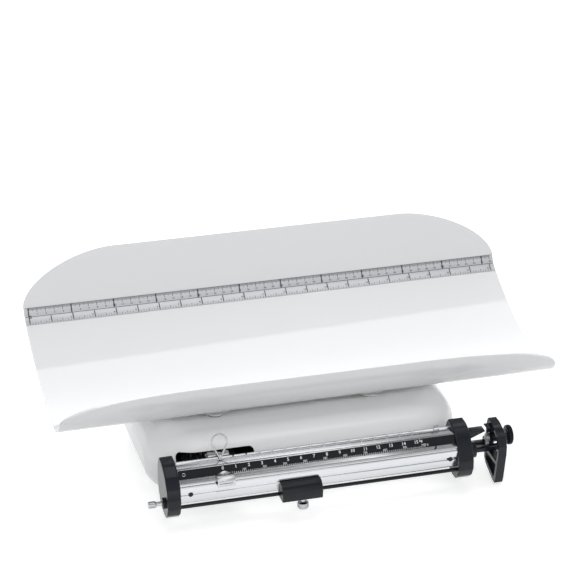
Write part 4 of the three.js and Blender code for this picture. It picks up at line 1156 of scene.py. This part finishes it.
def seen_directly(tree):
    """1 for what the camera sees, also in metal and through glass, and 0 for plain light."""
    rays = tree.nodes.new("ShaderNodeLightPath")
    either = rays.outputs["Is Camera Ray"]
    for ray in ("Is Glossy Ray", "Is Transmission Ray"):
        widest = tree.nodes.new("ShaderNodeMath")
        widest.operation = "MAXIMUM"
        tree.links.new(either, widest.inputs[0])
        tree.links.new(rays.outputs[ray], widest.inputs[1])
        either = widest.outputs[0]
    return either


def make_world():
    """White all round, with a dimmer ceiling that the bright metal can show."""
    world = bpy.data.worlds.new("studio")
    bpy.context.scene.world = world
    world.use_nodes = True
    tree = world.node_tree
    plain = tree.nodes["Background"]
    plain.inputs["Color"].default_value = (0.97, 0.98, 1, 1)
    plain.inputs["Strength"].default_value = 0.42
    white = tree.nodes.new("ShaderNodeBackground")
    way = tree.nodes.new("ShaderNodeTexCoord")
    height = tree.nodes.new("ShaderNodeSeparateXYZ")
    ceiling = tree.nodes.new("ShaderNodeMapRange")
    for name, value in (("From Min", 0.62), ("From Max", 0.8), ("To Min", 1), ("To Max", 0.35)):
        ceiling.inputs[name].default_value = value
    mix = tree.nodes.new("ShaderNodeMixShader")
    tree.links.new(way.outputs["Generated"], height.inputs["Vector"])
    tree.links.new(height.outputs["Z"], ceiling.inputs["Value"])
    tree.links.new(ceiling.outputs["Result"], white.inputs["Strength"])
    tree.links.new(seen_directly(tree), mix.inputs["Fac"])
    tree.links.new(plain.outputs[0], mix.inputs[1])
    tree.links.new(white.outputs[0], mix.inputs[2])
    tree.links.new(mix.outputs[0], tree.nodes["World Output"].inputs["Surface"])


def soft_light(name, place, aim, size, power, mirrored=True):
    """A soft box; one that isn't mirrored shows no image of itself in glossy pieces."""
    data = bpy.data.lights.new(name, "AREA")
    data.shape = "RECTANGLE"
    data.size, data.size_y = size
    data.energy = power
    lamp = bpy.data.objects.new(name, data)
    bpy.context.scene.collection.objects.link(lamp)
    lamp.visible_glossy = mirrored
    lamp.location = place
    lamp.rotation_euler = (Vector(aim) - Vector(place)).to_track_quat("-Z", "Y").to_euler()


def make_camera():
    """The camera as in the photograph: a long lens, from the left, the front and above."""
    data = bpy.data.cameras.new("camera")
    data.lens = CAMERA_LENS
    data.sensor_width = CAMERA_SENSOR
    data.clip_end = 100
    camera = bpy.data.objects.new("camera", data)
    bpy.context.scene.collection.objects.link(camera)
    camera.location = [value * MM for value in CAMERA_AT]
    azimuth, drop = math.radians(CAMERA_AZIMUTH), math.radians(CAMERA_DROP)
    level = math.cos(drop)
    ahead = Vector((math.sin(azimuth) * level, math.cos(azimuth) * level, -math.sin(drop)))
    camera.rotation_euler = ahead.to_track_quat("-Z", "Y").to_euler()
    bpy.context.scene.camera = camera


for name, node in frame["nodes"].items():
    for slot in node.material_slots:
        slot.material = SLOT_FINISHES[node_slot[name]]

make_tray()
make_ruler()
make_housing()
make_strip()
make_beam_print()
make_poise_details()
make_lock_knob()
make_weight()
make_post_seals()
make_thumbscrew()
make_zero_knob()
make_ring()
make_screws()
make_eyelet()
for cap in ("end_cap_left", "end_cap_right"):
    eased(cap, 0.6, limit=11, angle=9)
make_guide_frame()
eased("beam_extrusion", 0.3)
eased("main_poise", 0.4, BRIGHT_STEEL)
eased("fine_poise", 0.3, BRIGHT_STEEL)
for node in ("beam_tongue", "beam_tip_bar", "guide_arm", "lock_finger", "rail_stop"):
    eased(node, 0.4)
for node in frame["nodes"]:
    if node.startswith(("tray_cradle", "foot_", "beam_stand")):
        eased(node, 0.5)
    if node.startswith("tray_post"):
        smooth_bar(node, 2)
smooth_bar("slide_rod", 0, 0.3)
smooth_bar("lock_spindle", 0)

make_floor()
make_world()
soft_light("ceiling_lamp", (0.1, 0.55, 2.2), (0.05, 0.1, 0.1), (1.6, 0.9), 14, False)
soft_light("top_lamp", (0.3, -0.4, 2.2), (0, -0.05, 0.1), (1.5, 0.8), 5.5)
soft_light("window", (0.45, 1.7, 1.75), (0, 0.05, 0.1), (1.7, 1.75), 21)
soft_light("front_lamp", (-0.1, -2, 1.5), (0, 0, 0.1), (1.8, 0.7), 10.5, False)
soft_light("low_lamp", (-0.5, -2.5, 0.9), (0, 0, 0.1), (2.4, 0.9), 6.5)
make_camera()
bpy.context.scene.view_settings.view_transform = "Standard"
